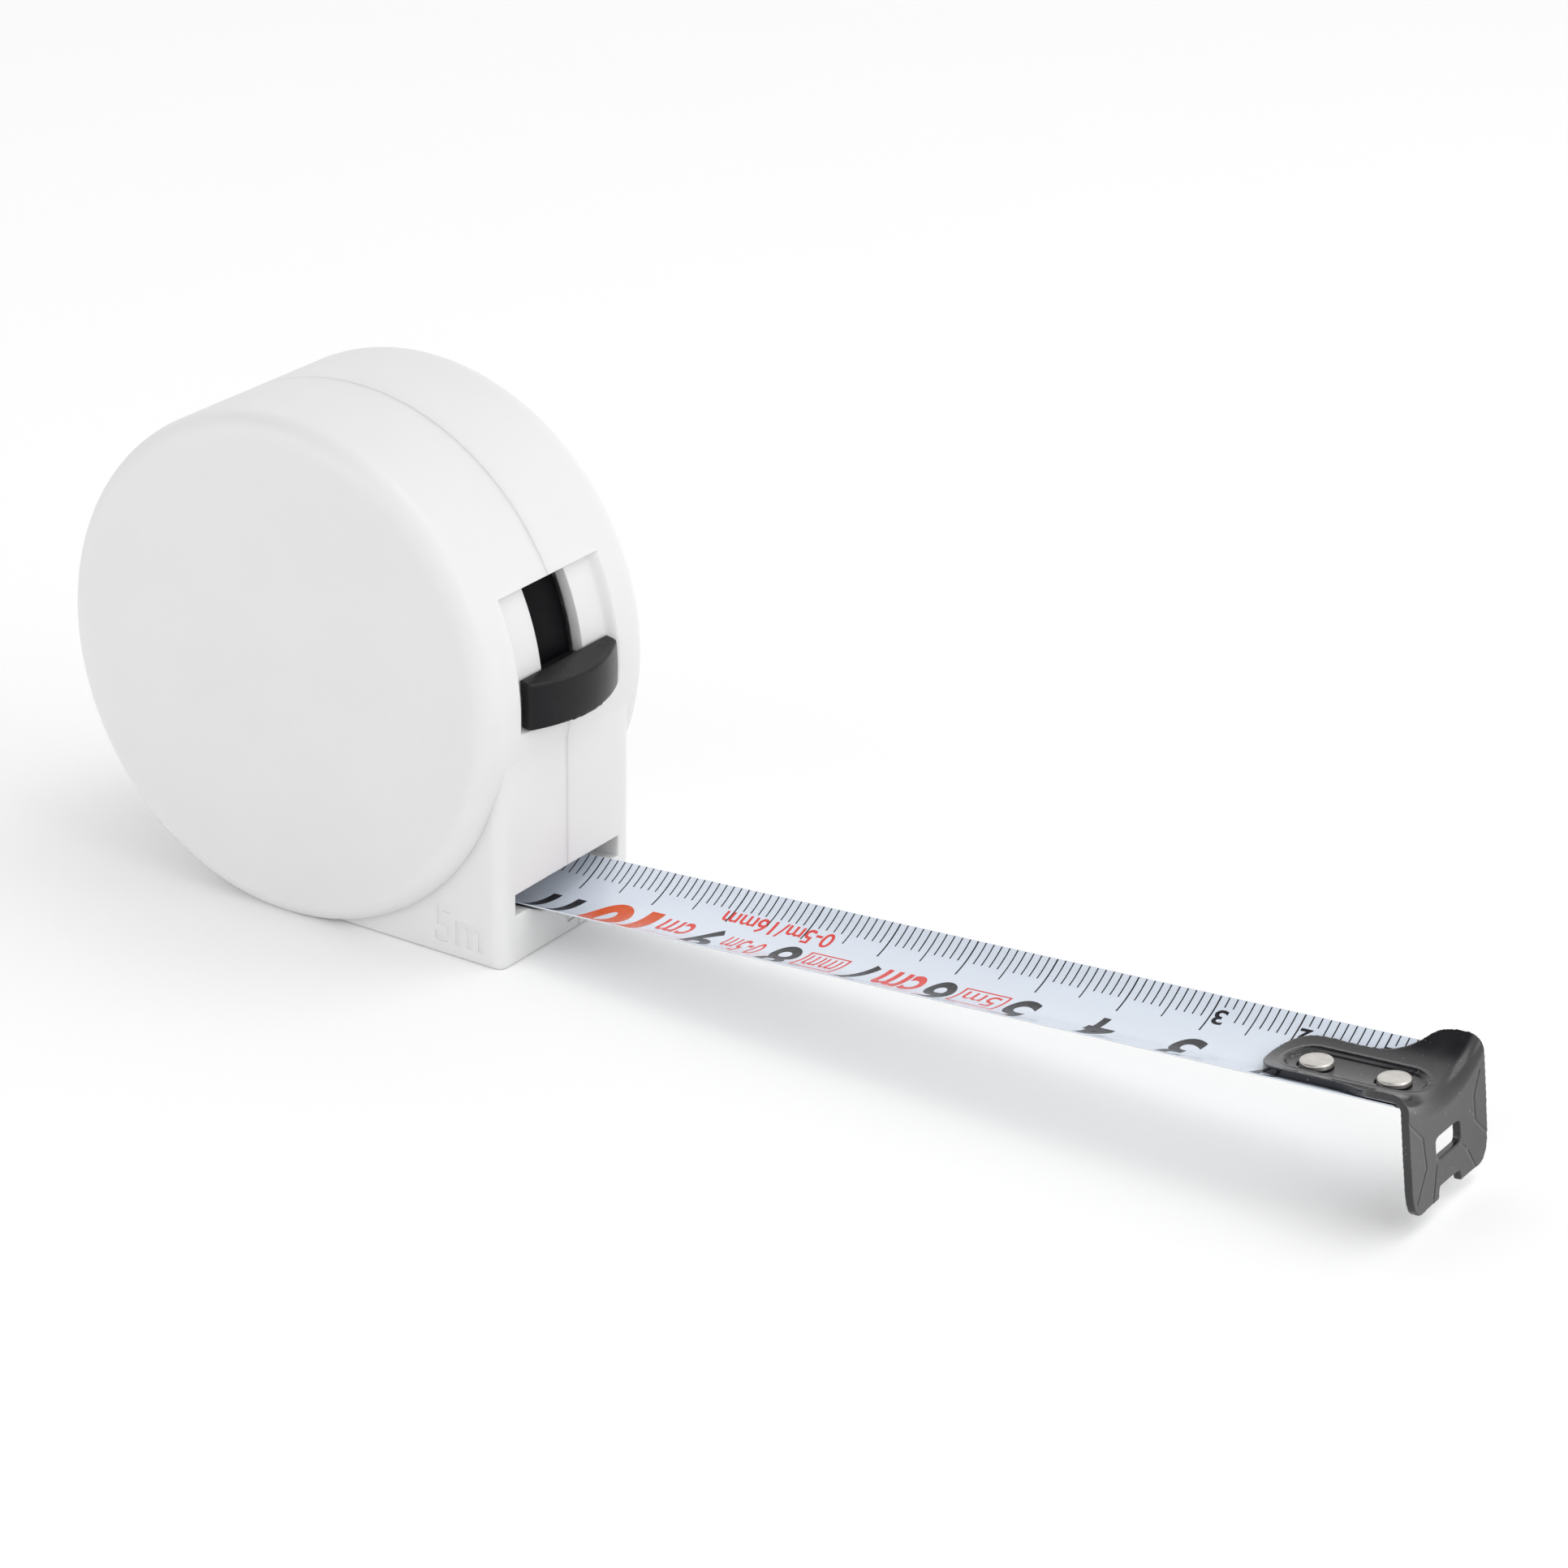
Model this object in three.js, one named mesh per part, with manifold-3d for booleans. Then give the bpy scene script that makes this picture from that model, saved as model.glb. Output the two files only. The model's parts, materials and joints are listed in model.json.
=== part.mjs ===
// Pocket tape measure, 5 m x 16 mm, round case with a square foot, blade locked part-way out.
// Millimetres. +X runs along the blade out of the mouth, +Y across the case, +Z up.
// Origin: on the base plane, below the drum axis, in the plane where the case halves meet.
import * as THREE from 'three';
import { mergeVertices } from 'three/addons/utils/BufferGeometryUtils.js';
import Module from 'manifold-3d';

const wasm = await Module();
wasm.setup();

// ---- case ----
const CASE_R = 30;            // drum outer radius
const AXIS_Z = 29.7;          // drum axis height, so the drum meets the base in a narrow flat
const CASE_HALF_W = 15;       // half the width across the two disc faces
const RIM_R = 2.5;            // rounding of the disc rims
const FOOT_X = 29.5;          // front face of the foot
const FOOT_HALF_W = 12.5;     // half the width of the foot
const FOOT_CORNER_R = 1.6;    // rounding of the foot's upright front corners
const SEAM_GAP = 0.1;         // each half stops this far from the middle plane
const LAP_Y = 2.1;            // the front half laps this far under the back one along the base
const LAP_Z = 1.5;
const CAVITY_R = 27.6;
const CAVITY_HALF_W = 13;
const SIDES = 56;             // facets round a full turn of the large radii

// ---- lock recess in the front of the drum ----
const RECESS_FLOOR_R = 29.0;
const RECESS_HALF_W = 9.2;
const RECESS_LOW_DEG = -3.8;
const RECESS_HIGH_DEG = 26.1;
const SLOT_HALF_W = 3.9;

// ---- blade ----
const PITCH_DEG = 3.9;        // the blade rises towards the hook
const MOUTH_Z = 4.3;          // height of the middle of the blade where it leaves the case
const BLADE_W = 16;
const BLADE_T = 0.16;
const TROUGH_R = 14;          // radius of the blade's curved cross-section
const ZERO_S = 109.75;        // distance along the blade from the front face to its zero
const BLADE_END_S = ZERO_S - 2.1;
const MOUTH_HALF_W = 9.8;
const MOUTH_TOP_N = 4.1;
const MOUTH_SHELF_N = 1.6;

// ---- end hook ----
const HOOK_T = 0.9;
const HOOK_GAP = 0.1;         // between the blade and the tab that lies on it
const BEND_R = 1.9;           // outer radius of the hook's bend
const HOOK_LEAN_DEG = 3.1;    // the plate opens outwards from square by this much
const HOOK_BOTTOM_N = -9.9;
const TAB_HALF_W = 4.6;
const PLATE_HALF_W = 8.6;
const RIVET_S = [ZERO_S - 14.8, ZERO_S - 5.9];
const PLAY = 0.9;             // travel of the hook on its rivets, equal to its thickness

// ---- reel ----
const POST_R = 2.6;
const HUB_R = 13.2;
const COIL_R = 20.4;          // radius of the wound blade with this length pulled out
const FLANGE_R = 22;
const FLANGE_Y = 8.6;
const FLANGE_T = 0.8;

// ---- lock ----
const SHIELD_R = 27.3;
const SHIELD_IN_R = 25.7;
const ARM_R = 26.5;
const BUTTON_LOW_DEG = -3.3;
const BUTTON_HIGH_DEG = 7.8;
const BUTTON_HALF_W = 8.3;

const rad = (deg) => deg * Math.PI / 180;

// ---------------------------------------------------------------- solids
function solid(geometry) {
  let g = geometry;
  if (g.index === null) g = mergeVertices(g);
  for (const name of Object.keys(g.attributes)) {
    if (name !== 'position') g.deleteAttribute(name);
  }
  g = mergeVertices(g, 1e-4);
  const kept = [];
  const index = g.index.array;
  for (let i = 0; i < index.length; i += 3) {
    const [a, b, c] = [index[i], index[i + 1], index[i + 2]];
    if (a !== b && b !== c && a !== c) kept.push(a, b, c);
  }
  return new wasm.Manifold(new wasm.Mesh({
    numProp: 3,
    vertProperties: new Float32Array(g.attributes.position.array),
    triVerts: new Uint32Array(kept),
  }));
}

function geometryOf(manifold) {
  const mesh = manifold.getMesh();
  const g = new THREE.BufferGeometry();
  g.setAttribute('position', new THREE.BufferAttribute(new Float32Array(mesh.vertProperties), 3));
  g.setIndex(new THREE.BufferAttribute(new Uint32Array(mesh.triVerts), 1));
  return g;
}

// A flat outline in X and Z, given a thickness from y0 to y1.
function plateXZ(points, y0, y1, holes = []) {
  const shape = new THREE.Shape(points.map(([x, z]) => new THREE.Vector2(x, z)));
  for (const hole of holes) {
    shape.holes.push(new THREE.Path(hole.map(([x, z]) => new THREE.Vector2(x, z))));
  }
  const g = new THREE.ExtrudeGeometry(shape, { depth: y1 - y0, bevelEnabled: false, steps: 1 });
  g.rotateX(Math.PI / 2);
  g.translate(0, y1, 0);
  return solid(g);
}

// A body turned about the drum axis; the profile is a list of [radius, y].
function turned(profile, segments = SIDES, x = 0, z = AXIS_Z) {
  const g = new THREE.LatheGeometry(profile.map(([r, y]) => new THREE.Vector2(r, y)), segments);
  g.translate(x, 0, z);
  return solid(g);
}

function box(x0, x1, y0, y1, z0, z1) {
  const g = new THREE.BoxGeometry(x1 - x0, y1 - y0, z1 - z0);
  g.translate((x0 + x1) / 2, (y0 + y1) / 2, (z0 + z1) / 2);
  return solid(g);
}

// Points on an arc about the drum axis, from one angle to another.
function arc(radius, fromDeg, toDeg, steps) {
  const points = [];
  for (let i = 0; i <= steps; i += 1) {
    const a = rad(fromDeg + (toDeg - fromDeg) * i / steps);
    points.push([radius * Math.cos(a), AXIS_Z + radius * Math.sin(a)]);
  }
  return points;
}

function sector(rIn, rOut, fromDeg, toDeg, steps, y0, y1) {
  const outline = arc(rOut, fromDeg, toDeg, steps).concat(arc(rIn, toDeg, fromDeg, steps));
  return plateXZ(outline, y0, y1);
}

// The blade's own directions: s along it, n square to it, both from the mouth.
const ALONG = new THREE.Vector3(Math.cos(rad(PITCH_DEG)), 0, Math.sin(rad(PITCH_DEG)));
const NORMAL = new THREE.Vector3(-Math.sin(rad(PITCH_DEG)), 0, Math.cos(rad(PITCH_DEG)));

function onBlade(s, y, n) {
  return [
    FOOT_X + ALONG.x * s + NORMAL.x * n,
    y,
    MOUTH_Z + ALONG.z * s + NORMAL.z * n,
  ];
}

// Turns a geometry made with s on X, y on Y and n on Z into blade directions.
function toBlade(geometry) {
  const m = new THREE.Matrix4().makeBasis(ALONG, new THREE.Vector3(0, 1, 0), NORMAL);
  m.setPosition(FOOT_X, 0, MOUTH_Z);
  return geometry.applyMatrix4(m);
}

function troughHeight(y) {
  return TROUGH_R - Math.sqrt(TROUGH_R * TROUGH_R - y * y);
}

// A closed sheet between two grids of points, rows by columns, outer side first.
function sheet(outer, inner) {
  const rows = outer.length;
  const columns = outer[0].length;
  const positions = [];
  const index = [];
  for (const grid of [outer, inner]) {
    for (const row of grid) {
      for (const p of row) positions.push(p[0], p[1], p[2]);
    }
  }
  const at = (side, r, c) => side * rows * columns + r * columns + c;
  const quad = (a, b, c, d) => index.push(a, b, c, a, c, d);
  for (let r = 0; r < rows - 1; r += 1) {
    for (let c = 0; c < columns - 1; c += 1) {
      quad(at(0, r, c), at(0, r + 1, c), at(0, r + 1, c + 1), at(0, r, c + 1));
      quad(at(1, r, c), at(1, r, c + 1), at(1, r + 1, c + 1), at(1, r + 1, c));
    }
  }
  for (let r = 0; r < rows - 1; r += 1) {
    const last = columns - 1;
    quad(at(0, r, 0), at(1, r, 0), at(1, r + 1, 0), at(0, r + 1, 0));
    quad(at(0, r, last), at(0, r + 1, last), at(1, r + 1, last), at(1, r, last));
  }
  for (let c = 0; c < columns - 1; c += 1) {
    const last = rows - 1;
    quad(at(0, 0, c), at(0, 0, c + 1), at(1, 0, c + 1), at(1, 0, c));
    quad(at(0, last, c), at(1, last, c), at(1, last, c + 1), at(0, last, c + 1));
  }
  const g = new THREE.BufferGeometry();
  g.setAttribute('position', new THREE.BufferAttribute(new Float32Array(positions), 3));
  g.setIndex(index);
  return solid(g);
}

// ---------------------------------------------------------------- materials
const whiteAbs = { color: 0xe9e9e8, roughness: 0.45, metalness: 0 };
const blackAbs = { color: 0x1d1e20, roughness: 0.42, metalness: 0 };
const greyNylon = { color: 0x9a9da0, roughness: 0.6, metalness: 0 };
const coatedSteel = { color: 0xdfe3ea, roughness: 0.3, metalness: 0.1 };
const springSteel = { color: 0x6d7278, roughness: 0.35, metalness: 1 };
const blackPaint = { color: 0x17181b, roughness: 0.3, metalness: 0.2 };
const rivetSteel = { color: 0xb9b4ad, roughness: 0.35, metalness: 1 };
const screwSteel = { color: 0x8f9296, roughness: 0.35, metalness: 1 };
const padRubber = { color: 0x2a2a2a, roughness: 0.85, metalness: 0 };

const tapeMeasure = new THREE.Group();
tapeMeasure.name = 'tape_measure';

function add(name, manifold, look) {
  const mesh = new THREE.Mesh(geometryOf(manifold), new THREE.MeshStandardMaterial(look));
  mesh.name = name;
  tapeMeasure.add(mesh);
}

// ---------------------------------------------------------------- case halves
function rimProfile() {
  const profile = [[0, -CASE_HALF_W]];
  for (let i = 0; i <= 3; i += 1) {
    const a = rad(-90 + 30 * i);
    profile.push([
      CASE_R - RIM_R + RIM_R * Math.cos(a),
      -CASE_HALF_W + RIM_R + RIM_R * Math.sin(a),
    ]);
  }
  for (let i = 0; i <= 3; i += 1) {
    const a = rad(30 * i);
    profile.push([
      CASE_R - RIM_R + RIM_R * Math.cos(a),
      CASE_HALF_W - RIM_R + RIM_R * Math.sin(a),
    ]);
  }
  profile.push([0, CASE_HALF_W]);
  return profile;
}

function footBlock() {
  const points = [[2, FOOT_HALF_W], [2, -FOOT_HALF_W]];
  for (let i = 0; i <= 4; i += 1) {
    const a = rad(-90 + 22.5 * i);
    points.push([
      FOOT_X - FOOT_CORNER_R + FOOT_CORNER_R * Math.cos(a),
      -FOOT_HALF_W + FOOT_CORNER_R + FOOT_CORNER_R * Math.sin(a),
    ]);
  }
  for (let i = 0; i <= 4; i += 1) {
    const a = rad(22.5 * i);
    points.push([
      FOOT_X - FOOT_CORNER_R + FOOT_CORNER_R * Math.cos(a),
      FOOT_HALF_W - FOOT_CORNER_R + FOOT_CORNER_R * Math.sin(a),
    ]);
  }
  const shape = new THREE.Shape(points.map(([x, y]) => new THREE.Vector2(x, y)));
  const g = new THREE.ExtrudeGeometry(shape, { depth: AXIS_Z, bevelEnabled: false, steps: 1 });
  return solid(g);
}

// The way out for the blade: curved under the blade, with a groove for the rivet ends.
function mouthCut() {
  const outline = [[-MOUTH_HALF_W, MOUTH_TOP_N], [-MOUTH_HALF_W, MOUTH_SHELF_N]];
  for (let i = 0; i <= 10; i += 1) {
    const y = -7.2 + 1.44 * i;
    outline.push([y, troughHeight(y) - 0.42]);
  }
  outline.push([MOUTH_HALF_W, MOUTH_SHELF_N], [MOUTH_HALF_W, MOUTH_TOP_N]);
  return alongBlade(outline, -24, 3);
}

function rivetGroove() {
  return alongBlade([[-2.1, -0.95], [2.1, -0.95], [2.1, 0.5], [-2.1, 0.5]], -24, 3);
}

// An outline in y and n, drawn out along the blade from s0 to s1.
function alongBlade(outline, s0, s1) {
  const shape = new THREE.Shape(outline.map(([y, n]) => new THREE.Vector2(y, n)));
  const g = new THREE.ExtrudeGeometry(shape, { depth: s1 - s0, bevelEnabled: false, steps: 1 });
  const m = new THREE.Matrix4().makeBasis(
    new THREE.Vector3(0, 1, 0),
    new THREE.Vector3(0, 0, 1),
    new THREE.Vector3(1, 0, 0),
  );
  g.applyMatrix4(m);
  g.translate(s0, 0, 0);
  return solid(toBlade(g));
}

const screwPlaces = [
  { name: 'case_screw_top', angle: 100, radius: 24.9, boss: true },
  { name: 'case_screw_rear_upper', angle: 162, radius: 24.9, boss: true },
  { name: 'case_screw_rear_lower', angle: 224, radius: 24.9, boss: true },
  { name: 'case_screw_front', angle: -35.5, radius: 31.0, boss: false },
];
const BOSS_R = 2.6;
const SCREW_HEAD_R = 1.9;
const SCREW_R = 0.95;
const HEAD_HOLE_R = 2.15;
const SCREW_HOLE_R = 1.2;
const HEAD_LOW_Y = 10.9;

function screwCentre(place) {
  const a = rad(place.angle);
  return [place.radius * Math.cos(a), AXIS_Z + place.radius * Math.sin(a)];
}

function rod(radius, y0, y1, segments, x, z) {
  return turned([[0, y0], [radius, y0], [radius, y1], [0, y1]], segments, x, z);
}

let caseWhole = turned(rimProfile()).add(footBlock());
caseWhole = caseWhole.subtract(box(-40, 40, -20, 20, -8, 0));
caseWhole = caseWhole.subtract(turned([
  [0, -CAVITY_HALF_W], [CAVITY_R, -CAVITY_HALF_W], [CAVITY_R, CAVITY_HALF_W], [0, CAVITY_HALF_W],
]));
for (const place of screwPlaces) {
  if (!place.boss) continue;
  const [x, z] = screwCentre(place);
  caseWhole = caseWhole.add(rod(BOSS_R, -13.5, 13.5, 16, x, z));
}
for (const side of [-1, 1]) {
  const [y0, y1] = side < 0 ? [-13.5, -10.6] : [10.6, 13.5];
  caseWhole = caseWhole.add(rod(4.4, y0, y1, 24, 0, AXIS_Z));
  const [h0, h1] = side < 0 ? [-13, -10] : [10, 13];
  caseWhole = caseWhole.subtract(rod(POST_R + 0.2, h0, h1, 24, 0, AXIS_Z));
}
caseWhole = caseWhole.subtract(mouthCut()).subtract(rivetGroove());
caseWhole = caseWhole.subtract(sector(
  RECESS_FLOOR_R, 36, RECESS_LOW_DEG, RECESS_HIGH_DEG, 10, -RECESS_HALF_W, RECESS_HALF_W,
));
caseWhole = caseWhole.subtract(sector(
  26, 30.5, RECESS_LOW_DEG, RECESS_HIGH_DEG, 10, -SLOT_HALF_W, SLOT_HALF_W,
));
for (const place of screwPlaces) {
  const [x, z] = screwCentre(place);
  caseWhole = caseWhole.subtract(rod(SCREW_HOLE_R, -10.4, 14, 12, x, z));
  caseWhole = caseWhole.subtract(rod(HEAD_HOLE_R, HEAD_LOW_Y - 0.2, 16, 16, x, z));
}
caseWhole = caseWhole.subtract(rod(SCREW_HOLE_R, 12, 16, 12, 0, AXIS_Z));
caseWhole = caseWhole.subtract(rod(HEAD_HOLE_R, 13.6, 16, 16, 0, AXIS_Z));

const frontHalf = caseWhole
  .subtract(box(-50, 50, -SEAM_GAP, 30, LAP_Z - SEAM_GAP, 80))
  .subtract(box(-50, 50, LAP_Y - SEAM_GAP, 30, -10, LAP_Z));
const backHalf = caseWhole
  .subtract(box(-50, 50, -30, SEAM_GAP, -10, 80))
  .subtract(box(-50, 50, -30, LAP_Y + SEAM_GAP, -10, LAP_Z + SEAM_GAP));
add('case_front_half', frontHalf, whiteAbs);
add('case_back_half', backHalf, whiteAbs);

// ---------------------------------------------------------------- screws and post
function screw(x, z, headLow, headHigh, tip) {
  const body = turned([
    [0, tip], [SCREW_R * 0.55, tip], [SCREW_R, tip + 1], [SCREW_R, headLow],
    [SCREW_HEAD_R, headLow], [SCREW_HEAD_R, headHigh - 0.4], [SCREW_HEAD_R - 0.5, headHigh],
    [0, headHigh],
  ], 16, x, z);
  const cross = box(x - 1.2, x + 1.2, headHigh - 0.8, headHigh + 1, z - 0.25, z + 0.25)
    .add(box(x - 0.25, x + 0.25, headHigh - 0.8, headHigh + 1, z - 1.2, z + 1.2));
  return body.subtract(cross);
}

for (const place of screwPlaces) {
  const [x, z] = screwCentre(place);
  add(place.name, screw(x, z, HEAD_LOW_Y, HEAD_LOW_Y + 1.4, -9.5), screwSteel);
}
add('case_screw_centre', screw(0, AXIS_Z, 13.8, 14.8, 4), screwSteel);

const post = rod(POST_R, -12.7, 12.7, 24, 0, AXIS_Z)
  .subtract(box(-0.4, 0.4, -8, 2.5, AXIS_Z - 5, AXIS_Z + 0.9))
  .subtract(rod(SCREW_HOLE_R, 3.4, 14, 12, 0, AXIS_Z));
add('centre_post', post, rivetSteel);

// ---------------------------------------------------------------- reel
add('reel_drum', turned([
  [3.1, -FLANGE_Y - FLANGE_T], [FLANGE_R, -FLANGE_Y - FLANGE_T], [FLANGE_R, -FLANGE_Y],
  [HUB_R, -FLANGE_Y], [HUB_R, FLANGE_Y - 0.2], [HUB_R - 1, FLANGE_Y - 0.2],
  [HUB_R - 1, -FLANGE_Y + 0.4], [4.4, -FLANGE_Y + 0.4], [4.4, -FLANGE_Y + 1.4],
  [3.1, -FLANGE_Y + 1.4], [3.1, -FLANGE_Y - FLANGE_T],
], 36), greyNylon);
add('reel_cover', turned([
  [3.1, FLANGE_Y], [FLANGE_R, FLANGE_Y], [FLANGE_R, FLANGE_Y + FLANGE_T],
  [3.1, FLANGE_Y + FLANGE_T], [3.1, FLANGE_Y],
], 36), greyNylon);
add('tape_coil', turned([
  [HUB_R + 0.2, -BLADE_W / 2], [COIL_R, -BLADE_W / 2], [COIL_R, BLADE_W / 2],
  [HUB_R + 0.2, BLADE_W / 2], [HUB_R + 0.2, -BLADE_W / 2],
], 36), coatedSteel);

// Flat spiral spring between the post and the reel, drawn slack and thick for clarity.
function spiral(rStart, rEnd, turns, perTurn, thickness) {
  const steps = turns * perTurn;
  const outer = [];
  const inner = [];
  for (let i = 0; i <= steps; i += 1) {
    const a = 2 * Math.PI * i / perTurn;
    const r = rStart + (rEnd - rStart) * i / steps;
    outer.push([(r + thickness) * Math.cos(a), AXIS_Z + (r + thickness) * Math.sin(a)]);
    inner.push([r * Math.cos(a), AXIS_Z + r * Math.sin(a)]);
  }
  return plateXZ(outer.concat(inner.reverse()), -6.8, 6.8);
}
add('power_spring', spiral(3.2, 11.2, 5, 16, 0.5), springSteel);

// ---------------------------------------------------------------- blade
// One strip through a list of stations: where its middle is, which way it heads and how
// far it is flattened (0 is flat, 1 is the full trough).
function strip(stations, columns) {
  const top = [];
  const bottom = [];
  for (const st of stations) {
    const rowTop = [];
    const rowBottom = [];
    for (let c = 0; c <= columns; c += 1) {
      const w = -BLADE_W / 2 + BLADE_W * c / columns;
      const bend = Math.max(st.trough, 0.001) / TROUGH_R;
      const y = Math.sin(w * bend) / bend;
      const n = (1 - Math.cos(w * bend)) / bend;
      const ny = -Math.sin(w * bend);
      const nn = Math.cos(w * bend);
      const nx = -Math.sin(st.heading);
      const nz = Math.cos(st.heading);
      rowTop.push([st.x + nx * n, y, st.z + nz * n]);
      const m = n - BLADE_T * nn;
      rowBottom.push([st.x + nx * m, y - BLADE_T * ny, st.z + nz * m]);
    }
    top.push(rowTop);
    bottom.push(rowBottom);
  }
  return sheet(top, bottom);
}

function station(s, trough) {
  const [x, , z] = onBlade(s, 0, 0);
  return { x, z, heading: rad(PITCH_DEG), trough };
}

const bladeStations = [];
for (const s of [-0.6, 30, 60, 88, BLADE_END_S]) bladeStations.push(station(s, 1));
let blade = strip(bladeStations, 12);
for (const s of RIVET_S) {
  const g = new THREE.CylinderGeometry(1.15, 1.15, 3, 12);
  g.rotateX(Math.PI / 2);
  g.translate(s, 0, 0);
  blade = blade.subtract(solid(toBlade(g)));
}
add('tape_blade', blade, coatedSteel);

// Inside the case: straight behind the mouth, then up and round to the wound blade.
const COIL_LEAVE_DEG = -128;
const runStations = [];
{
  const [x0, , z0] = onBlade(-19, 0, 0);
  const leave = rad(COIL_LEAVE_DEG);
  const lift = COIL_R + 0.25;
  const end = new THREE.Vector2(lift * Math.cos(leave), AXIS_Z + lift * Math.sin(leave));
  const towards = new THREE.Vector2(Math.sin(leave), -Math.cos(leave));
  const curve = new THREE.CubicBezierCurve(
    end,
    end.clone().addScaledVector(towards, -11),
    new THREE.Vector2(x0 - 9.5 * ALONG.x, z0 - 9.5 * ALONG.z + 0.45),
    new THREE.Vector2(x0, z0),
  );
  const steps = 8;
  for (let i = 0; i < steps; i += 1) {
    const t = i / steps;
    const p = curve.getPoint(t);
    const q = curve.getTangent(t);
    runStations.push({ x: p.x, z: p.y, heading: Math.atan2(q.y, q.x), trough: Math.min(1, t * t * 1.2) });
  }
  runStations.push(station(-19, 1), station(-0.9, 1));
}
add('tape_inner_run', strip(runStations, 8), coatedSteel);

// ---------------------------------------------------------------- hook rivets
function rivet(s) {
  const profile = [
    [0, -0.62], [1.4, -0.62], [1.6, -0.45], [1.6, -0.28], [1.0, -0.28], [1.0, 0.74],
    [1.82, 0.74], [1.82, 1.25], [1.6, 1.45], [0, 1.45],
  ];
  const g = new THREE.LatheGeometry(profile.map(([r, n]) => new THREE.Vector2(r, n)), 20);
  g.rotateX(Math.PI / 2);
  g.translate(s, 0, 0);
  return solid(toBlade(g));
}
add('hook_rivet_inner', rivet(RIVET_S[0]), rivetSteel);
add('hook_rivet_outer', rivet(RIVET_S[1]), rivetSteel);

// ---------------------------------------------------------------- end hook
// Rows run from the rounded end of the tab, over the bend and down the plate.
function hookRows() {
  const rows = [];
  const tabEnd = ZERO_S - 20.2;
  for (const [ds, w] of [
    [0, 1.2], [0.15, 2.1], [0.6, 3.2], [1.4, 4.0], [2.8, TAB_HALF_W], [9.4, TAB_HALF_W],
    [11.2, 4.9], [12.6, 5.6], [13.8, 6.7], [14.8, 7.8], [15.9, 8.4],
  ]) rows.push({ s: tabEnd + ds, w, turn: 90, drop: 0 });
  for (const turn of [90, 65, 40, 15, -HOOK_LEAN_DEG]) {
    rows.push({ s: ZERO_S - BEND_R, w: PLATE_HALF_W, turn, drop: 0 });
  }
  for (const [drop, w] of [[0.35, PLATE_HALF_W], [0.8, 8.55], [0.9, 8.3], [0.96, 7.7], [1, 6.8]]) {
    rows.push({ s: ZERO_S - BEND_R, w, turn: -HOOK_LEAN_DEG, drop });
  }
  return rows;
}

function hookPoint(row, y, inset) {
  const crown = troughHeight(y) + HOOK_GAP + HOOK_T;
  const r = BEND_R - inset;
  const a = rad(row.turn);
  const s = row.s + r * Math.cos(a);
  const n = crown - BEND_R + r * Math.sin(a);
  if (row.drop === 0) return onBlade(s, y, n);
  const lean = Math.tan(rad(HOOK_LEAN_DEG));
  const low = n + (HOOK_BOTTOM_N - n) * row.drop;
  return onBlade(s + (n - low) * lean, y, low);
}

const hookColumns = 12;
const hookOuter = [];
const hookInner = [];
for (const row of hookRows()) {
  const o = [];
  const i = [];
  for (let c = 0; c <= hookColumns; c += 1) {
    const y = row.w * (-1 + 2 * c / hookColumns);
    o.push(hookPoint(row, y, 0));
    i.push(hookPoint(row, y, HOOK_T));
  }
  hookOuter.push(o);
  hookInner.push(i);
}
let hook = sheet(hookOuter, hookInner);

// Stadium pocket pressed into the tab, and the two slots that the rivets slide in.
function stadium(s0, s1, radius, n0, n1, segments) {
  const points = [];
  for (let i = 0; i <= segments; i += 1) {
    const a = rad(90 + 180 * i / segments);
    points.push(new THREE.Vector2(s0 + radius * Math.cos(a), radius * Math.sin(a)));
  }
  for (let i = 0; i <= segments; i += 1) {
    const a = rad(-90 + 180 * i / segments);
    points.push(new THREE.Vector2(s1 + radius * Math.cos(a), radius * Math.sin(a)));
  }
  const g = new THREE.ExtrudeGeometry(new THREE.Shape(points), {
    depth: n1 - n0,
    bevelEnabled: false,
    steps: 1,
  });
  g.translate(0, 0, n0);
  return solid(toBlade(g));
}
hook = hook.subtract(stadium(ZERO_S - 15.6, ZERO_S - 5.1, 2.55, 0.62, 4, 8));
for (const s of RIVET_S) hook = hook.subtract(stadium(s - PLAY - 0.1, s + 0.05, 1.15, -1, 2, 6));

// Window in the plate and the notch between its two prongs.
function plateCut(points) {
  const shape = new THREE.Shape(points.map(([y, n]) => new THREE.Vector2(y, n)));
  const g = new THREE.ExtrudeGeometry(shape, { depth: 8, bevelEnabled: false, steps: 1 });
  const m = new THREE.Matrix4().makeBasis(
    new THREE.Vector3(0, 1, 0),
    new THREE.Vector3(0, 0, 1),
    new THREE.Vector3(1, 0, 0),
  );
  g.applyMatrix4(m);
  g.translate(ZERO_S - 3, 0, 0);
  return solid(toBlade(g));
}
hook = hook.subtract(plateCut([
  [-2.2, -5.6], [2.2, -5.6], [2.65, -5.15], [2.65, -3.6], [2.2, -3.15], [-2.2, -3.15],
  [-2.65, -3.6], [-2.65, -5.15],
]));
hook = hook.subtract(plateCut([
  [-2.7, -11], [2.7, -11], [2.3, -9.2], [1.7, -8.65], [-1.7, -8.65], [-2.3, -9.2],
]));
add('end_hook', hook, blackPaint);

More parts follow.
